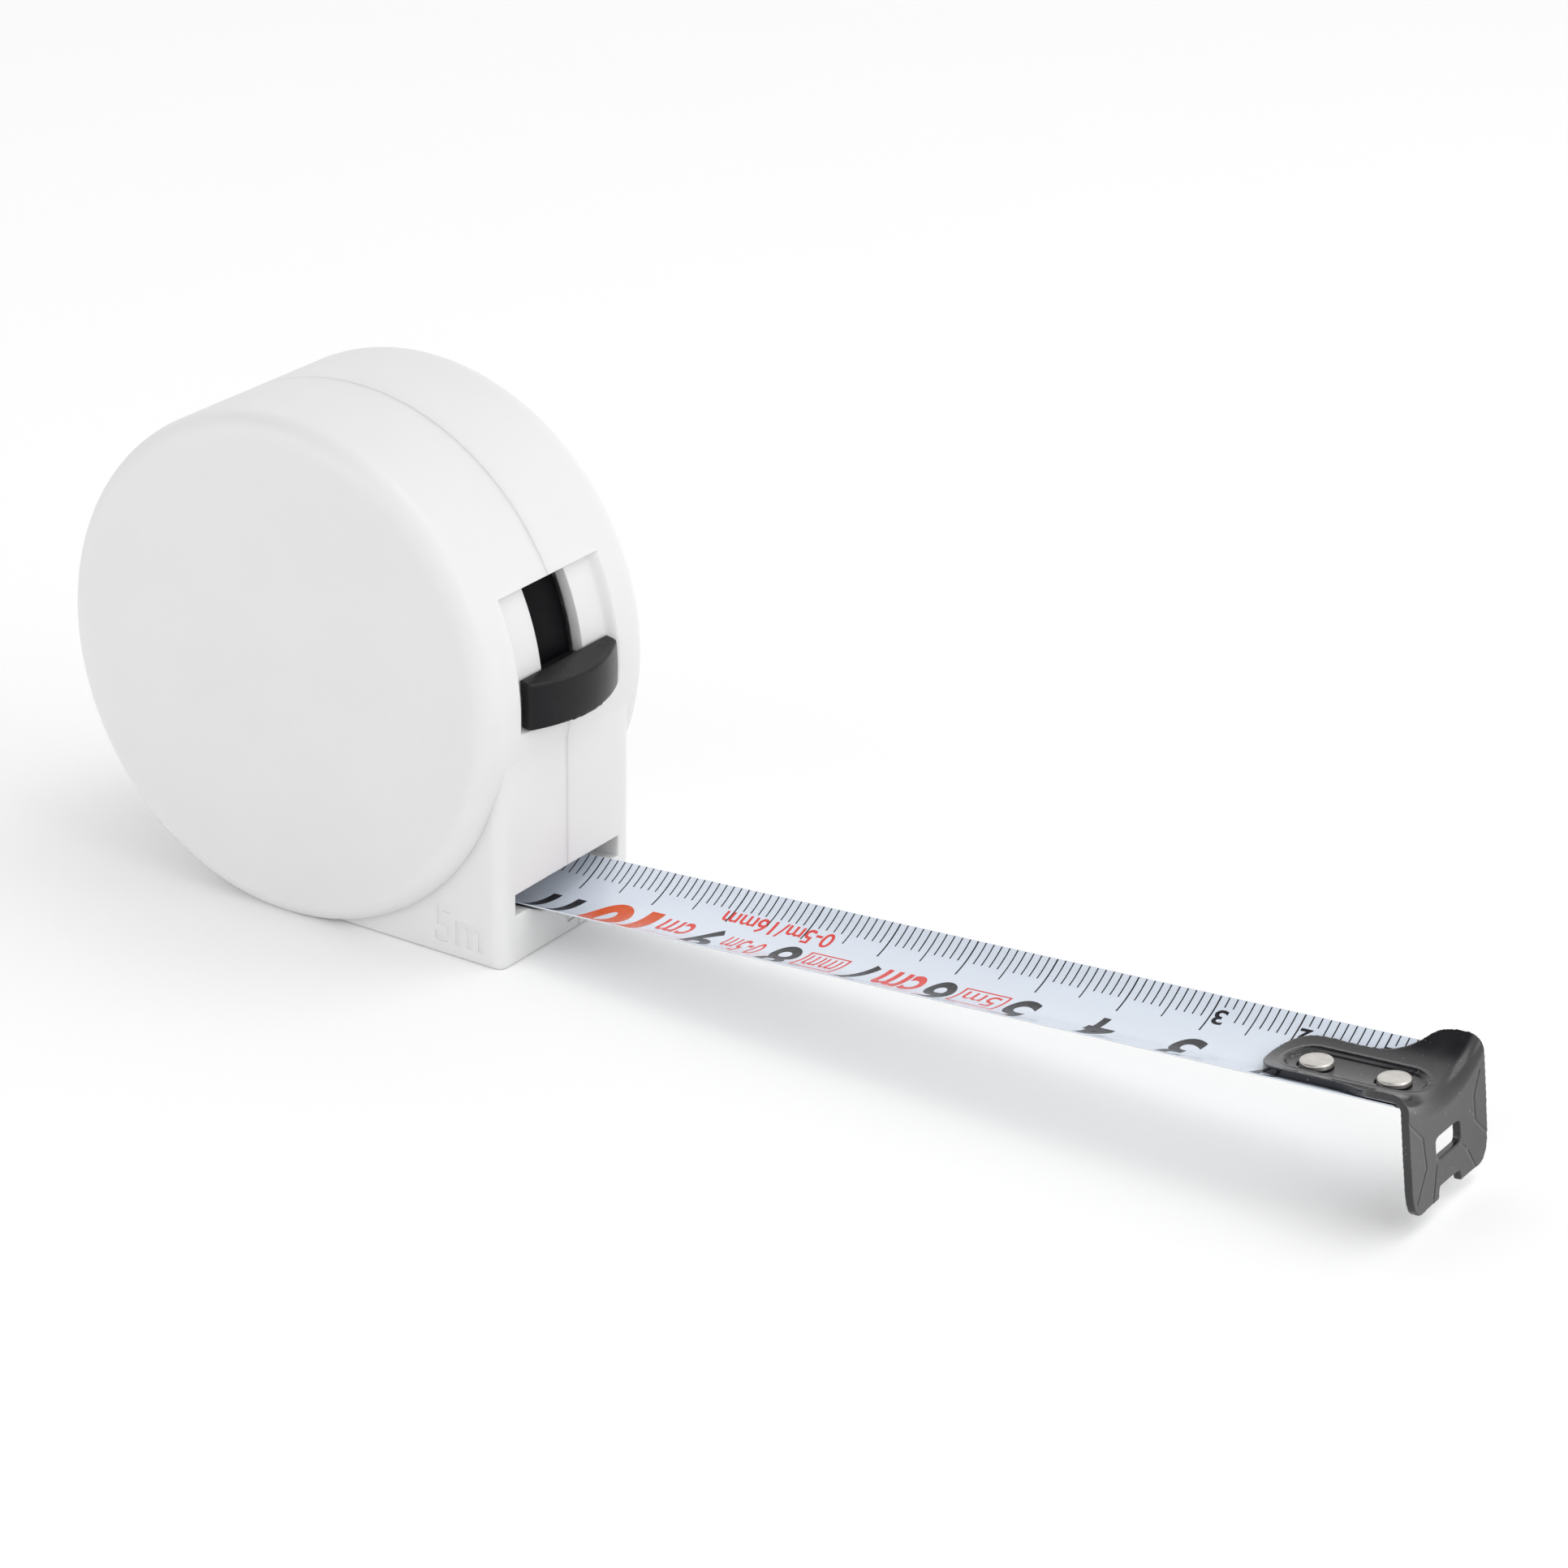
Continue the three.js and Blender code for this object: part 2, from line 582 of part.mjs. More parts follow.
// ---------------------------------------------------------------- lock
// Thumb button: a bar with a bulging front, standing on the curved shield strip.
function lockButton() {
  const front = [];
  const back = [];
  const columns = 10;
  const rows = 5;
  for (let r = 0; r <= rows; r += 1) {
    const a = rad(BUTTON_LOW_DEG + (BUTTON_HIGH_DEG - BUTTON_LOW_DEG) * r / rows);
    const edge = Math.abs(2 * r / rows - 1);
    const f = [];
    const b = [];
    for (let c = 0; c <= columns; c += 1) {
      const k = 1 - 2 * c / columns;
      const y = BUTTON_HALF_W * k;
      const bulge = 30.4 + 2.1 * (1 - k * k) - (edge > 0.9 ? 0.35 : 0);
      f.push([bulge * Math.cos(a), y, AXIS_Z + bulge * Math.sin(a)]);
      b.push([29.2 * Math.cos(a), y, AXIS_Z + 29.2 * Math.sin(a)]);
    }
    front.push(f);
    back.push(b);
  }
  const neck = sector(27.5, 29.6, BUTTON_LOW_DEG + 0.6, BUTTON_HIGH_DEG - 1.2, 4, -3.5, 3.5);
  return sheet(front, back).add(neck);
}
add('lock_button', lockButton(), blackAbs);

const lockOutline = arc(SHIELD_R, 29, -24, 14)
  .concat(arc(ARM_R, -24.6, -76, 12))
  .concat(arc(SHIELD_IN_R, -76, 29, 26));
add('lock_slider', plateXZ(lockOutline.reverse(), -3.6, 3.6), blackAbs);
add('brake_pad', sector(ARM_R + 0.15, 27.2, -75, -69, 3, -2.2, 2.2), padRubber);

export default tapeMeasure;
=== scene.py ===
# Pocket tape measure, 5 m x 16 mm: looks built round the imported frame.
# Lengths below are millimetres unless a name says otherwise; meshes are stored in metres.
import json
import math

import bmesh
import bpy
from mathutils import Matrix, Vector


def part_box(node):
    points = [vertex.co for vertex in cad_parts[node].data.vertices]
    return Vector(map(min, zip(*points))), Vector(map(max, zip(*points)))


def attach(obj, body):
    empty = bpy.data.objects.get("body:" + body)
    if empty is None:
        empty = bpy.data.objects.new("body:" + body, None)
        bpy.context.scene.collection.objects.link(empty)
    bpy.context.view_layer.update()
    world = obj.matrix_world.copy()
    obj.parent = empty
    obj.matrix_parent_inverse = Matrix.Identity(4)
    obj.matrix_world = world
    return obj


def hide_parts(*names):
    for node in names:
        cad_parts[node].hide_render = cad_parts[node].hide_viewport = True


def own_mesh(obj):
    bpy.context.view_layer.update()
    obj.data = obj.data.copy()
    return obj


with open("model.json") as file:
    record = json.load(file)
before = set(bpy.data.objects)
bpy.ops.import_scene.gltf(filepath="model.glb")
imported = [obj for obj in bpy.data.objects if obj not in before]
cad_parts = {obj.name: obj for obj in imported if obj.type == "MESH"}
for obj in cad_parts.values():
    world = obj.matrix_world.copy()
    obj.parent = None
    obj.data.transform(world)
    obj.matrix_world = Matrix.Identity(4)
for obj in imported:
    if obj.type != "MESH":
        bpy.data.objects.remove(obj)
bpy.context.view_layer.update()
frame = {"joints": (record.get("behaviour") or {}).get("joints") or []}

M = 0.001
rad = math.radians


def cad(node):
    low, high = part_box(node)
    return low / M, high / M


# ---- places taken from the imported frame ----
post_low, post_high = cad("centre_post")
shell_low, shell_high = cad("case_front_half")
coil_low, coil_high = cad("tape_coil")
AXIS_Z = (post_low.z + post_high.z) / 2
CASE_R = shell_high.z - AXIS_Z
CASE_HALF_W = -shell_low.y
POST_R = (post_high.x - post_low.x) / 2
COIL_R = (coil_high.x - coil_low.x) / 2
COIL_HALF_W = coil_high.y
FLANGE_R = (cad("reel_drum")[1].x - cad("reel_drum")[0].x) / 2
HOOK_HALF_W = cad("end_hook")[1].y
PULL = next(j for j in frame["joints"] if j["name"] == "blade_pull")
ALONG = Vector(PULL["axis"]).normalized()
ACROSS = Vector((0, 1, 0))
NORMAL = ALONG.cross(ACROSS)
PITCH = math.atan2(ALONG.z, ALONG.x)

# ---- sizes of the visible forms ----
RIM_R = 2.5          # rounding of the drum's rims
FOOT_X = 29.5        # front of the foot, where the mouth opens
FOOT_HALF_W = 12.5
FOOT_CORNER_R = 1.6
MOUTH_Z = 4.3        # height of the blade's low line where it leaves the case
MOUTH_HALF_W, MOUTH_ROOF, MOUTH_SHELF = 9.8, 4.1, 1.6
GROOVE_HALF_W, GROOVE_FLOOR = 2.1, -0.95     # groove in the mouth's floor for the rivets
RECESS_DEPTH = 1.0   # shallow recess round the lock; its ends are angles about the drum's axis
RECESS_HALF_W = 8.9
RECESS_LOW = -3.8
RECESS_HIGH = 26.1
SLOT_HALF_W = 3.9
CAVITY_R = 27.6
CAVITY_HALF_W = 13.0
SEAM = 0.005         # gap on each side of the plane where the halves meet
REACH = 60           # half the size of a cutting block, well past the case
BLADE_W = 16.0
BLADE_T = 0.16
TROUGH_R = 14.0      # radius of the blade's hollow section
ZERO_S = 109.75      # the scale's zero, measured along the blade from the mouth
BLADE_END_S = ZERO_S - 2.1
STRIP_S = -14.5      # where the drawn-out strip takes over from the run inside the case
RIVET_S = (ZERO_S - 14.8, ZERO_S - 5.9)
RIVET_HOLE_R = 1.15


# ------------------------------------------------------------------ mesh helpers
def temp(verts, faces):
    mesh = bpy.data.meshes.new("work")
    mesh.from_pydata([tuple(v) for v in verts], [], faces)
    bm = bmesh.new()
    bm.from_mesh(mesh)
    bmesh.ops.remove_doubles(bm, verts=bm.verts, dist=1e-5)
    bmesh.ops.recalc_face_normals(bm, faces=bm.faces)
    bm.to_mesh(mesh)
    bm.free()
    obj = bpy.data.objects.new("work", mesh)
    bpy.context.scene.collection.objects.link(obj)
    return obj


def bake(obj):
    graph = bpy.context.evaluated_depsgraph_get()
    mesh = bpy.data.meshes.new_from_object(obj.evaluated_get(graph))
    obj.modifiers.clear()
    obj.data = mesh
    return obj


def combine(obj, other, operation):
    m = obj.modifiers.new("combine", "BOOLEAN")
    m.object, m.operation, m.solver = other, operation, "EXACT"
    bake(obj)
    bpy.data.objects.remove(other)
    return obj


def cut(obj, other):
    return combine(obj, other, "DIFFERENCE")


def shade_smooth(obj):
    for p in obj.data.polygons:
        p.use_smooth = True


def remesh(obj, voxel, rounds, factor=0.5):
    m = obj.modifiers.new("voxels", "REMESH")
    m.mode, m.voxel_size, m.use_smooth_shade = "VOXEL", voxel, True
    s = obj.modifiers.new("soften", "SMOOTH")
    s.factor, s.iterations = factor, rounds
    return bake(obj)


def finish_piece(obj, name, body, look, stands_for=(), sharp=30, weighted=False):
    obj.name = name
    obj.data.name = name
    if sharp is not None:
        shade_smooth(obj)
        obj.data.set_sharp_from_angle(angle=rad(sharp))
    if weighted:
        w = obj.modifiers.new("weighted", "WEIGHTED_NORMAL")
        w.keep_sharp = True
        bake(obj)
        obj.data.name = name
    obj.data.transform(Matrix.Scale(M, 4))
    obj.data.materials.clear()
    obj.data.materials.append(look)
    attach(obj, body)
    if stands_for:
        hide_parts(*stands_for)
    return obj


def loft(loops, closed=True, cap=True):
    """Quads between loops of equal length, with the first and last filled."""
    n = len(loops[0])
    verts = [p for loop in loops for p in loop]
    faces = []
    for i in range(len(loops) - 1):
        for k in range(n if closed else n - 1):
            a, b = i * n + k, i * n + (k + 1) % n
            faces.append((a, b, b + n, a + n))
    if cap:
        faces.append(tuple(range(n))[::-1])
        faces.append(tuple(range((len(loops) - 1) * n, len(loops) * n)))
    return temp(verts, faces)


def turned(profile, steps=96, x=0.0, z=None, closed_ring=False):
    """A body turned about an axis along Y; profile is (radius, y)."""
    z = AXIS_Z if z is None else z
    verts, faces = [], []
    n = len(profile)
    for i in range(steps):
        a = 2 * math.pi * i / steps
        for r, y in profile:
            verts.append((x + r * math.cos(a), y, z + r * math.sin(a)))
    for i in range(steps):
        j = (i + 1) % steps
        for k in range(n if closed_ring else n - 1):
            m = (k + 1) % n
            ring = [i * n + k, i * n + m, j * n + m, j * n + k]
            if profile[k][0] < 1e-9:
                del ring[3]
            elif profile[m][0] < 1e-9:
                del ring[2]
            faces.append(tuple(ring))
    return temp(verts, faces)


def rod(radius, y0, y1, steps=32, x=0.0, z=None):
    return turned([(0, y0), (radius, y0), (radius, y1), (0, y1)], steps, x, z)


def block(x0, x1, y0, y1, z0, z1):
    return loft([[(x0, y0, z), (x1, y0, z), (x1, y1, z), (x0, y1, z)] for z in (z0, z1)])


def arc(radius, start, end, steps):
    out = []
    for i in range(steps + 1):
        a = rad(start + (end - start) * i / steps)
        out.append((radius * math.cos(a), AXIS_Z + radius * math.sin(a)))
    return out


def grown(points, amount):
    """A closed outline moved outwards by an amount (inwards if negative)."""
    n = len(points)
    area = sum(points[i][0] * points[(i + 1) % n][1] - points[(i + 1) % n][0] * points[i][1]
               for i in range(n))
    sign = 1 if area > 0 else -1
    out = []
    for i in range(n):
        p, q, r = Vector(points[i - 1]), Vector(points[i]), Vector(points[(i + 1) % n])
        d1, d2 = (q - p).normalized(), (r - q).normalized()
        n1, n2 = Vector((d1.y, -d1.x)) * sign, Vector((d2.y, -d2.x)) * sign
        m = (n1 + n2).normalized()
        out.append(tuple(q + m * amount / max(0.4, m.dot(n1))))
    return out


def slab(outline, y0, y1, round_r=0.0, steps=4):
    """An outline in X and Z with thickness along Y and rounded rims."""
    loops = []
    if round_r > 0:
        for i in range(steps):
            a = rad(90 * i / steps)
            pts = grown(outline, -round_r * (1 - math.sin(a)))
            loops.append([(x, y0 + round_r * (1 - math.cos(a)), z) for x, z in pts])
        loops.append([(x, y0 + round_r, z) for x, z in outline])
        loops.append([(x, y1 - round_r, z) for x, z in outline])
        for i in range(steps - 1, -1, -1):
            a = rad(90 * i / steps)
            pts = grown(outline, -round_r * (1 - math.sin(a)))
            loops.append([(x, y1 - round_r * (1 - math.cos(a)), z) for x, z in pts])
    else:
        loops = [[(x, y, z) for x, z in outline] for y in (y0, y1)]
    return loft(loops)


def on_blade(s, y, n):
    return (FOOT_X + ALONG.x * s + NORMAL.x * n, y, MOUTH_Z + ALONG.z * s + NORMAL.z * n)


def trough(y):
    return TROUGH_R - math.sqrt(max(0.0, TROUGH_R ** 2 - y * y))


def smooth(a, b, t):
    t = min(1.0, max(0.0, (t - a) / (b - a)))
    return t * t * (3 - 2 * t)


def bladewise(outline, stops):
    """An outline in y and n drawn out along the blade; stops are (s, growth, slant)."""
    loops = []
    for s, growth, slant in stops:
        pts = grown(outline, growth) if growth else outline
        loops.append([on_blade(s + n * slant, y, n) for y, n in pts])
    return loft(loops)


# ------------------------------------------------------------------ materials
class Look:
    """A node material with its coordinates in millimetres."""

    def __init__(self, name, colour, roughness, metallic=0.0, **more):
        self.material = bpy.data.materials.new(name)
        self.material.use_nodes = True
        self.tree = self.material.node_tree
        self.shader = self.tree.nodes["Principled BSDF"]
        self.shader.inputs["Base Color"].default_value = (*colour, 1)
        self.shader.inputs["Roughness"].default_value = roughness
        self.shader.inputs["Metallic"].default_value = metallic
        for key, value in more.items():
            self.shader.inputs[key.replace("_", " ")].default_value = value
        where = self.tree.nodes.new("ShaderNodeTexCoord")
        scale = self.tree.nodes.new("ShaderNodeVectorMath")
        scale.operation = "SCALE"
        scale.inputs["Scale"].default_value = 1000
        self.tree.links.new(where.outputs["Object"], scale.inputs[0])
        self.place = scale.outputs[0]
        self.height = None

    def stretched(self, x, y, z):
        m = self.tree.nodes.new("ShaderNodeVectorMath")
        m.operation = "MULTIPLY"
        m.inputs[1].default_value = (x, y, z)
        self.tree.links.new(self.place, m.inputs[0])
        return m.outputs[0]

    def noise(self, scale, detail=3.0, rough=0.5, place=None):
        n = self.tree.nodes.new("ShaderNodeTexNoise")
        n.inputs["Scale"].default_value = scale
        n.inputs["Detail"].default_value = detail
        n.inputs["Roughness"].default_value = rough
        self.tree.links.new(place or self.place, n.inputs["Vector"])
        return n.outputs[0]

    def ranged(self, source, a, b, low, high):
        r = self.tree.nodes.new("ShaderNodeMapRange")
        for key, value in zip(("From Min", "From Max", "To Min", "To Max"), (a, b, low, high)):
            r.inputs[key].default_value = value
        self.tree.links.new(source, r.inputs["Value"])
        return r.outputs[0]

    def math(self, operation, a, b):
        m = self.tree.nodes.new("ShaderNodeMath")
        m.operation = operation
        for i, v in enumerate((a, b)):
            if isinstance(v, (int, float)):
                m.inputs[i].default_value = v
            else:
                self.tree.links.new(v, m.inputs[i])
        return m.outputs[0]

    def colours(self, source, first, second):
        m = self.tree.nodes.new("ShaderNodeMix")
        m.data_type = "RGBA"
        for i, v in ((6, first), (7, second)):
            if isinstance(v, tuple):
                m.inputs[i].default_value = (*v, 1)
            else:
                self.tree.links.new(v, m.inputs[i])
        self.tree.links.new(source, m.inputs[0])
        return m.outputs[2]

    def attribute(self, name):
        a = self.tree.nodes.new("ShaderNodeAttribute")
        a.attribute_name = name
        return a.outputs["Fac"]

    def set(self, socket, source):
        self.tree.links.new(source, self.shader.inputs[socket])

    def bump(self, source, distance_mm, strength=1.0):
        b = self.tree.nodes.new("ShaderNodeBump")
        b.inputs["Strength"].default_value = strength
        b.inputs["Distance"].default_value = distance_mm * M
        self.tree.links.new(source, b.inputs["Height"])
        if self.height is not None:
            self.tree.links.new(self.height, b.inputs["Normal"])
        self.height = b.outputs[0]
        self.tree.links.new(self.height, self.shader.inputs["Normal"])


def moulded(name, colour, tint, low, high, grain, depth, **more):
    """Injection-moulded plastic: fine grain, slow colour and gloss variation."""
    look = Look(name, colour, (low + high) / 2, **more)
    look.set("Base Color", look.colours(look.ranged(look.noise(0.07, 4), 0.3, 0.7, 0, 1), colour, tint))
    smear = look.noise(0.35, 5, 0.65)
    look.set("Roughness", look.ranged(smear, 0.3, 0.7, low, high))
    look.bump(look.noise(grain, 2), depth)
    look.bump(look.noise(0.12, 1), 0.05, 0.5)
    return look


def metal(name, colour, tint, low, high, stretch=(1, 1, 1)):
    look = Look(name, colour, (low + high) / 2, 1.0)
    place = look.stretched(*stretch)
    look.set("Base Color", look.colours(look.ranged(look.noise(0.8, 5, 0.6), 0.35, 0.65, 0, 1), colour, tint))
    look.set("Roughness", look.ranged(look.noise(3.0, 4, 0.6, place), 0.3, 0.7, low, high))
    look.bump(look.noise(6.0, 3, 0.6, place), 0.01)
    return look


case_look = moulded("case_plastic_white", (0.735, 0.735, 0.733), (0.718, 0.719, 0.719),
                    0.36, 0.47, 5.0, 0.006,
                    Subsurface_Weight=0.5, Subsurface_Scale=0.002, Subsurface_Radius=(1.0, 1.0, 1.0))
lock_look = moulded("lock_plastic_black", (0.007, 0.007, 0.008), (0.012, 0.012, 0.013),
                    0.2, 0.3, 3.0, 0.0035,
                    Specular_IOR_Level=0.2)
slide_look = moulded("lock_slider_black", (0.003, 0.003, 0.004), (0.005, 0.005, 0.006),
                     0.35, 0.5, 4.0, 0.004,
                     Specular_IOR_Level=0.06)
reel_look = moulded("reel_plastic_grey", (0.30, 0.31, 0.32), (0.26, 0.27, 0.28), 0.45, 0.6, 4.0, 0.012)
post_look = metal("post_steel_plain", (0.55, 0.54, 0.52), (0.45, 0.44, 0.42), 0.25, 0.42, (4, 0.2, 4))
screw_look = metal("screw_steel_dark", (0.36, 0.37, 0.38), (0.28, 0.29, 0.30), 0.25, 0.45)
spring_look = metal("spring_steel_blued", (0.17, 0.19, 0.22), (0.12, 0.13, 0.17), 0.25, 0.4, (0.3, 3, 0.3))

rivet_look = metal("rivet_steel_worn", (0.62, 0.60, 0.57), (0.54, 0.52, 0.49), 0.3, 0.42)
worn = rivet_look.ranged(rivet_look.noise(2.2, 6, 0.7), 0.5, 0.64, 0, 1)
rivet_look.bump(worn, 0.005)

pad_look = Look("brake_pad_rubber", (0.02, 0.02, 0.02), 0.85)
pad_look.set("Roughness", pad_look.ranged(pad_look.noise(2.0, 4), 0.3, 0.7, 0.75, 0.95))
pad_look.set("Base Color", pad_look.colours(pad_look.noise(1.5, 4),
                                            (0.016, 0.016, 0.016), (0.03, 0.03, 0.029)))
pad_look.bump(pad_look.noise(3.0, 4), 0.04)

blade_look = Look("blade_coating_white", (0.78, 0.82, 0.89), 0.24, Coat_Weight=0.35, Coat_Roughness=0.12)
blade_look.set("Base Color", blade_look.colours(
    blade_look.ranged(blade_look.noise(0.08, 4, 0.5), 0.35, 0.65, 0, 1),
    (0.685, 0.745, 0.835), (0.672, 0.73, 0.818)))
blade_look.set("Roughness", blade_look.ranged(
    blade_look.noise(0.3, 4, 0.55), 0.3, 0.7, 0.2, 0.27))
blade_look.bump(blade_look.noise(0.9, 2, 0.5), 0.004)

# Painted shade: the blade's underside gets a darker, neutral grey copy of the white coat, though the real
# blade is coated alike on both faces; it also keeps the light bounced into the floor shadow grey rather than
# blue.
underside_shade_look = Look("blade_underside_painted_shade", (0.66, 0.68, 0.70), 0.34)
underside_shade_look.set("Base Color", underside_shade_look.colours(underside_shade_look.noise(0.1, 4),
                                                (0.65, 0.672, 0.70), (0.68, 0.70, 0.72)))
underside_shade_look.set("Roughness", underside_shade_look.ranged(underside_shade_look.noise(0.4, 4), 0.3, 0.7, 0.28, 0.42))


def ink(name, colour, second):
    look = Look(name, colour, 0.32, Coat_Weight=0.05, Coat_Roughness=0.12, Specular_IOR_Level=0.2)
    patches = look.ranged(look.noise(2.4, 5, 0.7), 0.4, 0.75, 0, 1)
    look.set("Base Color", look.colours(patches, colour, second))
    look.set("Roughness", look.ranged(look.noise(1.5, 4), 0.3, 0.7, 0.22, 0.4))
    return look


ink_black = ink("ink_black", (0.014, 0.014, 0.018), (0.03, 0.03, 0.036))
ink_orange = ink("ink_orange", (0.64, 0.07, 0.002), (0.69, 0.1, 0.008))
ink_red = ink("ink_red", (0.70, 0.05, 0.04), (0.74, 0.09, 0.08))

hook_look = Look("hook_paint_black", (0.012, 0.012, 0.014), 0.26, Coat_Weight=0.2, Coat_Roughness=0.1)
dust = hook_look.ranged(hook_look.noise(2.6, 1.0), 0.755, 0.785, 0, 0.42)
scratch = hook_look.ranged(
    hook_look.noise(1.3, 2.0, 0.5, hook_look.stretched(5.5, 0.8, 1.0)), 0.765, 0.785, 0, 0.3)
marks = hook_look.math("MAXIMUM", dust, scratch)
base = hook_look.colours(hook_look.ranged(hook_look.noise(0.25, 4), 0.3, 0.7, 0, 1),
                         (0.012, 0.012, 0.014), (0.02, 0.02, 0.023))
# Painted shade: along the pressed lines the paint is darkened to near black, standing in for the shade inside
# the grooves.
base = hook_look.colours(hook_look.attribute("crease_shade"), base, (0.002, 0.002, 0.002))
hook_look.set("Base Color", hook_look.colours(marks, base, (0.5, 0.49, 0.47)))
hook_look.set("Roughness", hook_look.ranged(hook_look.noise(0.9, 5, 0.65), 0.3, 0.7, 0.16, 0.27))
hook_look.bump(hook_look.noise(1.2, 2, 0.5), 0.005)


# ------------------------------------------------------------------ case
def drum():
    """The outside of the drum, with the shallow recess for the lock sunk into it."""
    ys = []
    for i in range(13):
        a = rad(-90 + 90 * i / 12)
        ys.append((CASE_R - RIM_R + RIM_R * math.cos(a), -CASE_HALF_W + RIM_R + RIM_R * math.sin(a)))
    y = -12.0
    for stop, step in ((-10.2, 0.6), (-8.2, 0.12), (-4.0, 0.7), (-0.3, 0.9)):
        while y < stop:
            ys.append((CASE_R, y))
            y += step
    ys += [(CASE_R, -0.3), (CASE_R, -0.13), (CASE_R - 0.02, -0.06), (CASE_R - 0.06, -0.02)]
    profile = [(0.0, -CASE_HALF_W), (12.0, -CASE_HALF_W)] + ys
    profile = profile + [(CASE_R - 0.06, 0.0)] + [(r, -y) for r, y in reversed(profile)]
    angles = [2.0 * i for i in range(180)]
    for edge in (RECESS_HIGH, RECESS_LOW % 360):
        angles = [a for a in angles if abs(a - edge) > 1.1]
        angles += [edge + d for d in (-1.0, -0.6, -0.35, -0.22, -0.11, 0, 0.11, 0.22, 0.35, 0.6, 1.0)]
    angles = sorted(a % 360 for a in angles)
    verts, faces = [], []
    n = len(profile)
    for angle in angles:
        signed = angle if angle < 180 else angle - 360
        along = smooth(RECESS_LOW - 0.12, RECESS_LOW + 0.28, signed) * (
            1 - smooth(RECESS_HIGH - 0.28, RECESS_HIGH + 0.12, signed))
        for r, y in profile:
            across = 1 - smooth(RECESS_HALF_W - 0.75, RECESS_HALF_W + 0.55, abs(y))
            k = r - (RECESS_DEPTH * along * across if r > CASE_R - 0.2 else 0)
            verts.append((k * math.cos(rad(angle)), y, AXIS_Z + k * math.sin(rad(angle))))
    for i in range(len(angles)):
        j = (i + 1) % len(angles)
        for k in range(n - 1):
            a, b, c, d = i * n + k, i * n + k + 1, j * n + k + 1, j * n + k
            if k == 0:
                faces.append((a, b, c))
            elif k == n - 2:
                faces.append((a, b, d))
            else:
                faces.append((a, b, c, d))
    return temp(verts, faces)


def foot():
    top = AXIS_Z + FOOT_X * math.tan(rad(RECESS_LOW)) - 0.1
    side = [(2.0, -FOOT_HALF_W)]
    for i in range(9):
        a = rad(-90 + 90 * i / 8)
        side.append((FOOT_X - FOOT_CORNER_R + FOOT_CORNER_R * math.cos(a),
                     -FOOT_HALF_W + FOOT_CORNER_R + FOOT_CORNER_R * math.sin(a)))
    side += [(FOOT_X, -0.13), (FOOT_X - 0.02, -0.06), (FOOT_X - 0.06, -0.02)]
    outline = side + [(x, -y) for x, y in reversed(side)]
    loops = []
    for z, inset in ((0.0, 0.45), (0.06, 0.25), (0.16, 0.11), (0.3, 0.03), (0.45, 0.0), (top, 0.0)):
        loops.append([(min(x, FOOT_X - inset), max(-FOOT_HALF_W + inset, min(FOOT_HALF_W - inset, y)), z)
                      for x, y in outline])
    return loft(loops)


def mouth_outline():
    """The mouth's section in y and n: its floor follows the blade, with the rivet groove in it."""
    under_blade = 0.42
    left = [(-MOUTH_HALF_W, MOUTH_ROOF), (-MOUTH_HALF_W, MOUTH_SHELF)]
    left += [(-7.2 + 0.51 * i, trough(-7.2 + 0.51 * i) - under_blade) for i in range(11)]
    left += [(-GROOVE_HALF_W, GROOVE_FLOOR)]
    return left + [(-y, n) for y, n in reversed(left)]


SCREW_HOLE_R, SCREW_HEAD_R, WELL_R, BOSS_R = 1.2, 1.9, 2.15, 2.6
HIGH_SEAT, LOW_SEAT = 13.8, 10.9     # y of the face that a screw's head stands on
# The screws round the rim, and whether each stands in a boss inside the drum.
SCREWS = {
    "case_screw_top": True,
    "case_screw_rear_upper": True,
    "case_screw_rear_lower": True,
    "case_screw_front": False,
}


def screw_place(name):
    low, high = cad(name)
    return (low.x + high.x) / 2, (low.z + high.z) / 2


def text_mesh(text, bold, resolution, extrude=0.0):
    """The built-in font's letters as a mesh, on the XY plane."""
    curve = bpy.data.curves.new("text", "FONT")
    curve.body, curve.offset, curve.resolution_u, curve.extrude = text, bold, resolution, extrude
    obj = bpy.data.objects.new("text", curve)
    bpy.context.scene.collection.objects.link(obj)
    bpy.context.view_layer.update()
    mesh = bpy.data.meshes.new_from_object(obj.evaluated_get(bpy.context.evaluated_depsgraph_get()))
    bpy.data.objects.remove(obj)
    return mesh


def scaled_to(verts, width, height, depth):
    """Moves vertices so that they start at zero and fill a width and a height."""
    xs, ys = [v.co.x for v in verts], [v.co.y for v in verts]
    x0, x1, y0, y1 = min(xs), max(xs), min(ys), max(ys)
    for v in verts:
        v.co = ((v.co.x - x0) / (x1 - x0) * width, (v.co.y - y0) / (y1 - y0) * height, v.co.z * depth)


def label(text, size, depth):
    """Letters as a closed solid standing on the XY plane; size is (width, height)."""
    mesh = text_mesh(text, 0.02, 6, 1.0)
    scaled_to(mesh.vertices, *size, depth)
    return temp([v.co.copy() for v in mesh.vertices], [tuple(p.vertices) for p in mesh.polygons])


def screw_well(mouth_y, x=0.0, z=None, floor_y=10.7):
    """A counterbore for a screw's head, with a bevelled mouth."""
    wide, outside_y = WELL_R + 0.3, 16
    return turned([(0, floor_y), (WELL_R, floor_y), (WELL_R, mouth_y), (wide, mouth_y + 0.3),
                   (wide, outside_y), (0, outside_y)], 40, x, z)


